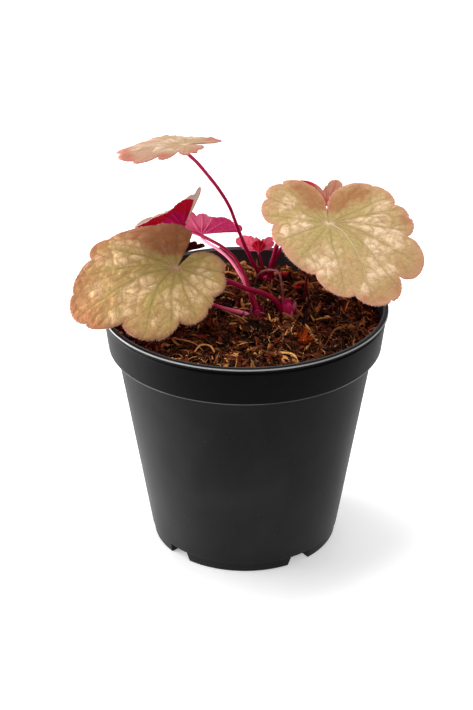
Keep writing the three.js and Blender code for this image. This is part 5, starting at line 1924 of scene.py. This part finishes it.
# ---- pot
@dataclass
class Pot:
    """A tapered plastic nursery pot with a beaded lip, a deep rim band and four notches in its foot."""

    height: float = 107.5
    lip_radius: float = 60.0
    lip_height: float = 1.7
    lip_width: float = 2.2
    groove_depth: float = 1.3
    groove_height: float = 0.7
    band_top: float = 59.2
    band_foot: float = 57.5
    band_bottom: float = 90.3
    body_top: float = 54.2
    base: float = 39.8
    foot_height: float = 4.6
    foot_inset: float = 0.5
    wall: float = 1.2
    notch_height: float = 4.2
    notch_width: float = 11.5
    notch_slant: float = 3.6
    notch_reach: float = 11.0
    notch_turn: float = -4.5
    notches: Sequence[float] = (-39.6, 39.6, 140.4, -140.4)
    drain_inset: float = 7.0
    drain_size: Pair = (3.0, 6.5)
    drain_heights: Pair = (2.2, 6.2)
    segments: int = 192
    sharp: float = 38.0  # degrees at which an edge stays sharp
    finish: PlasticFinish = PlasticFinish()

    def outer(self) -> list[Point]:
        """Returns the outside as (radius, height, rounding) from the middle of the foot to the lip.

        Returns:
            The rows.
        """
        foot = self.base + self.foot_inset
        lip = self.height - self.lip_height
        neck = self.lip_radius - self.groove_depth
        return [
            (0, 0, 0), (self.base, 0, 0.9), (foot - 0.1, self.foot_height, 0.3),
            (foot + 0.5, self.foot_height + 0.3, 0.4),
            (self.body_top, self.band_bottom - 0.9, 0.6), (self.band_foot, self.band_bottom, 0.45),
            (self.band_top, lip - self.groove_height - 0.5, 0.4), (neck, lip - self.groove_height, 0.2),
            (neck, lip, 0.2), (self.lip_radius, lip + 0.2, 0.5), (self.lip_radius - 0.1, self.height, 0.75),
        ]

    def inner(self) -> list[Point]:
        """Returns the inside as (radius, height, rounding) from the lip down to the middle of the floor.

        Returns:
            The rows.
        """
        ledge = self.band_bottom + self.wall
        return [
            (self.lip_radius - self.lip_width, self.height, 0.7), (self.band_foot - self.wall, ledge, 0.5),
            (self.body_top - self.wall, ledge - 0.9, 0.5), (self.base - self.wall + 0.4, self.wall + 2, 1.0),
            (self.base - self.wall - 0.6, self.wall, 0.6), (0, self.wall, 0),
        ]

    @staticmethod
    def rounded(profile: Sequence[Point], steps: int = 5) -> Array:
        """Replaces each corner by a parabola that starts and ends its rounding away from the corner.

        Args:
            profile: Rows of (radius, height, rounding).
            steps: Points on each parabola.

        Returns:
            Radius and height, two columns.
        """
        line = [np.array(profile[0][:2], dtype=float)[None]]
        t = np.linspace(0, 1, steps)[:, None]
        for before, corner, after in zip(profile[:-2], profile[1:-1], profile[2:]):
            p, a, b = (np.array(row[:2], dtype=float) for row in (corner, before, after))
            start, end = (p + unit(q - p) * min(corner[2], 0.45 * np.linalg.norm(q - p)) for q in (a, b))
            line.append((1 - t) ** 2 * start + 2 * t * (1 - t) * p + t**2 * end)
        line.append(np.array(profile[-1][:2], dtype=float)[None])
        return np.concatenate(line)

    def turned(self, line: Array, name: str) -> Body:
        """Turns a profile that starts and ends on the axis into a closed body.

        Args:
            line: Radius and height, two columns, going up the outside.
            name: Name of the body.

        Returns:
            A loose object.
        """
        turn = 2 * np.pi * np.arange(self.segments) / self.segments
        ring = line[1:-1]
        x, y = np.outer(ring[:, 0], np.cos(turn)), np.outer(ring[:, 0], np.sin(turn))
        z = np.repeat(ring[:, 1:], self.segments, axis=1)
        poles = [[0, 0, line[0, 1]], [0, 0, line[-1, 1]]]
        points = np.concatenate([np.stack([x, y, z], -1).reshape(-1, 3), poles])
        total = len(ring) * self.segments
        first, last = np.arange(self.segments), total - self.segments + np.arange(self.segments)
        faces = grid_quads(len(ring), self.segments).tolist()
        faces += cap_tris(first, total, True).tolist() + cap_tris(last, total + 1).tolist()
        return loose_body(name, points, faces)

    def block(self, position: float, grow: float) -> Body:
        """A notch's cutter: upright on one side and slanted on the other, run in through the wall.

        Args:
            position: Degrees from the front towards the right.
            grow: How far it is larger all round.

        Returns:
            A loose object.
        """
        half, top = self.notch_width / 2 + grow, self.notch_height + grow
        mirror = 1 if (position > 0) == (abs(position) < 90) else -1
        slant = self.notch_slant / 2
        across = mirror * np.array([-(half + slant), half, half, -(half - slant)])
        high = np.array([-6.0, -6.0, top, top])
        near, far = -(self.base + 6.0), -(self.base - self.notch_reach - grow)
        points = np.concatenate([np.column_stack([across, np.full(4, y), high]) for y in (near, far)])
        return self.swung(points, position, mirror, f"notch_{position:.0f}_{grow:.1f}")

    def slot(self, position: float) -> Body:
        """Returns the cutter of the drain slot through a notch's roof.

        Args:
            position: Degrees from the front towards the right.

        Returns:
            A loose object.
        """
        width, reach = self.drain_size
        across = width / 2 * np.array([-1, 1, 1, -1])
        high = np.repeat(self.drain_heights, 2)
        ends = [self.drain_inset - self.base + d for d in (-reach / 2, reach / 2)]
        points = np.concatenate([np.column_stack([across, np.full(4, y), high]) for y in ends])
        return self.swung(points, position, 1, f"drain_{position:.0f}")

    def swung(self, points: Array, position: float, mirror: int, name: str) -> Body:
        """Turns a block's eight points about the pot's axis and closes them into a body.

        Args:
            points: Four points at one end, then four at the other.
            position: Degrees from the front towards the right.
            mirror: 1, or -1 if the points are mirrored.
            name: Name of the object.

        Returns:
            A loose object.
        """
        turn = math.radians(self.notch_turn + position)
        x = points[:, 0] * math.cos(turn) - points[:, 1] * math.sin(turn)
        y = points[:, 0] * math.sin(turn) + points[:, 1] * math.cos(turn)
        faces = [[0, 1, 2, 3], [7, 6, 5, 4], [0, 4, 5, 1], [1, 5, 6, 2], [2, 6, 7, 3], [3, 7, 4, 0]]
        faces = faces if mirror > 0 else [face[::-1] for face in faces]
        return loose_body(name, np.column_stack([x, y, points[:, 2]]), faces)

    def build(self) -> None:
        """Turns the pot, cuts the notches and drain slots, and dresses it."""
        outside = self.rounded([*self.outer(), (0, self.height, 0)])
        mouth = [(0, self.height + 1, 0), (self.lip_radius - self.lip_width + 0.1, self.height + 1, 0)]
        inside = self.rounded([*mouth, *self.inner()])
        shell = self.turned(outside, "pot_shell")
        hollow = self.turned(inside[::-1], "pot_hollow")
        cut_away(hollow, [self.block(p, self.wall) for p in self.notches])
        cutters = [hollow, *(self.block(p, 0) for p in self.notches), *(self.slot(p) for p in self.notches)]
        cut_away(shell, cutters)
        shell.data.set_sharp_from_angle(angle=math.radians(self.sharp))
        shell.data.materials.append(self.finish.material(self.height, self.band_bottom))
        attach(shell, "root")
        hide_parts("pot")
        LOG.info("pot_shell: %d points, %d faces", len(shell.data.vertices), len(shell.data.polygons))


def loose_body(name: str, points: Array, faces: Sequence[Sequence[int]]) -> Body:
    """Makes a plain object in the scene from millimetre points and faces.

    Args:
        name: Its name.
        points: Points, three columns.
        faces: Point numbers of each face.

    Returns:
        The object, which is not yet one of the pieces.
    """
    mesh = bpy.data.meshes.new(name)
    mesh.from_pydata((np.asarray(points) * MM).tolist(), [], faces)
    mesh.polygons.foreach_set("use_smooth", np.ones(len(mesh.polygons), dtype=bool))
    body = bpy.data.objects.new(name, mesh)
    bpy.context.scene.collection.objects.link(body)
    return body


def cut_away(body: Body, cutters: Sequence[Body]) -> None:
    """Takes each cutter out of a body with an exact boolean, and deletes the cutters.

    Args:
        body: The body, whose mesh is swapped for the result.
        cutters: Closed objects.
    """
    for cutter in cutters:
        change = body.modifiers.new("cut", "BOOLEAN")
        change.operation, change.solver, change.object = "DIFFERENCE", "EXACT", cutter
    graph = bpy.context.evaluated_depsgraph_get()
    result = bpy.data.meshes.new_from_object(body.evaluated_get(graph))
    body.modifiers.clear()
    body.data = result
    for cutter in cutters:
        bpy.data.objects.remove(cutter)


# ---- stage
@dataclass(frozen=True)
class Lamp:
    """A soft rectangular lamp: its place, aim, width and height in metres, and its power in watts."""

    name: str
    at: Point
    aim: Point
    size: Pair
    power: float

    def build(self) -> None:
        """Hangs the lamp."""
        data = bpy.data.lights.new(self.name, "AREA")
        data.shape, data.energy = "RECTANGLE", self.power
        data.size, data.size_y = self.size
        lamp = bpy.data.objects.new(self.name, data)
        lamp.location = self.at
        lamp.rotation_euler = (Vector(self.aim) - Vector(self.at)).to_track_quat("-Z", "Y").to_euler()
        bpy.context.scene.collection.objects.link(lamp)


LAMPS = (
    Lamp("key", (-0.14, 0.14, 1.1), (0, 0, 0.1), (0.5, 0.5), 8.6),
    Lamp("left_box", (-0.56, 0.1, 0.065), (0, 0, 0.055), (0.6, 0.1), 9.2),
    Lamp("back", (0, 0.95, 0.5), (0, 0, 0.1), (1, 0.4), 3.0),
    Lamp("front", (0.35, -0.9, 0.75), (0, 0, 0.1), (0.4, 0.4), 2.2),
)


@dataclass
class Stage:
    """A pale floor, a bright surround, soft lamps and the camera. Places are in metres."""

    floor_size: float = 40.0
    floor_tone: float = 0.93
    floor_glow: float = 0.36
    far_glow: float = 0.66
    glow_rise: Pair = (0.4, 1.6)
    surround: float = 0.43
    lamps: Sequence[Lamp] = LAMPS
    eye: Point = (-0.0036, -0.68012, 0.43134)
    look_down: float = 27.1
    lens: float = 91.27
    sensor: float = 36.0
    clip: Pair = (0.05, 80.0)

    def floor(self) -> None:
        """Lays the floor, whose own glow rises with the distance where the lamps no longer reach."""
        half = self.floor_size / 2 / MM
        corners = [(-half, -half, 0.0), (half, -half, 0.0), (half, half, 0.0), (-half, half, 0.0)]
        plane = loose_body("floor", corners, [(0, 1, 2, 3)])
        g = Graph("pale_floor")
        far = ((g.axis(0) ** 2.0 + g.axis(1) ** 2.0) ** 0.5).ease(*self.glow_rise)
        glow = g.mix((self.floor_glow,) * 3, (self.far_glow,) * 3, far)
        tone = (self.floor_tone,) * 3
        white = g.finish(tone, 0.6, Specular_IOR_Level=0.2, Emission_Color=glow, Emission_Strength=1.0)
        plane.data.materials.append(white)

    def camera(self) -> None:
        """Sets the camera level from side to side, looking down at the plant."""
        data = bpy.data.cameras.new("camera")
        data.lens, data.sensor_width = self.lens, self.sensor
        data.clip_start, data.clip_end = self.clip
        camera = bpy.data.objects.new("camera", data)
        camera.location = self.eye
        camera.rotation_euler = (math.radians(90 - self.look_down), 0.0, 0.0)
        bpy.context.scene.collection.objects.link(camera)
        bpy.context.scene.camera = camera

    def build(self) -> None:
        """Sets up the camera, the floor, the surround and the lamps."""
        self.camera()
        self.floor()
        world = bpy.data.worlds.new("surround")
        world.use_nodes = True
        background = world.node_tree.nodes["Background"].inputs
        background["Color"].default_value = (1.0, 1.0, 1.0, 1.0)
        background["Strength"].default_value = self.surround
        bpy.context.scene.world = world
        for lamp in self.lamps:
            lamp.build()
        bpy.context.scene.view_settings.view_transform = "Standard"


def main() -> None:
    """Builds the stage, the pot, the compost and the plant."""
    logging.basicConfig(level=logging.INFO, format="%(message)s")
    Stage().build()
    Pot().build()
    Compost().build()
    LaidLitter().build()
    blades = {blade.name: blade for blade in BLADES}
    for blade in BLADES:
        blade.build()
    for stalk in STALKS:
        stalk.build(blades[stalk.name])
    WitheredStem().build()
    for crown in CROWNS:
        crown.build()
    for leaf in DRY_LEAVES:
        leaf.build()


if __name__ == "__main__":
    main()
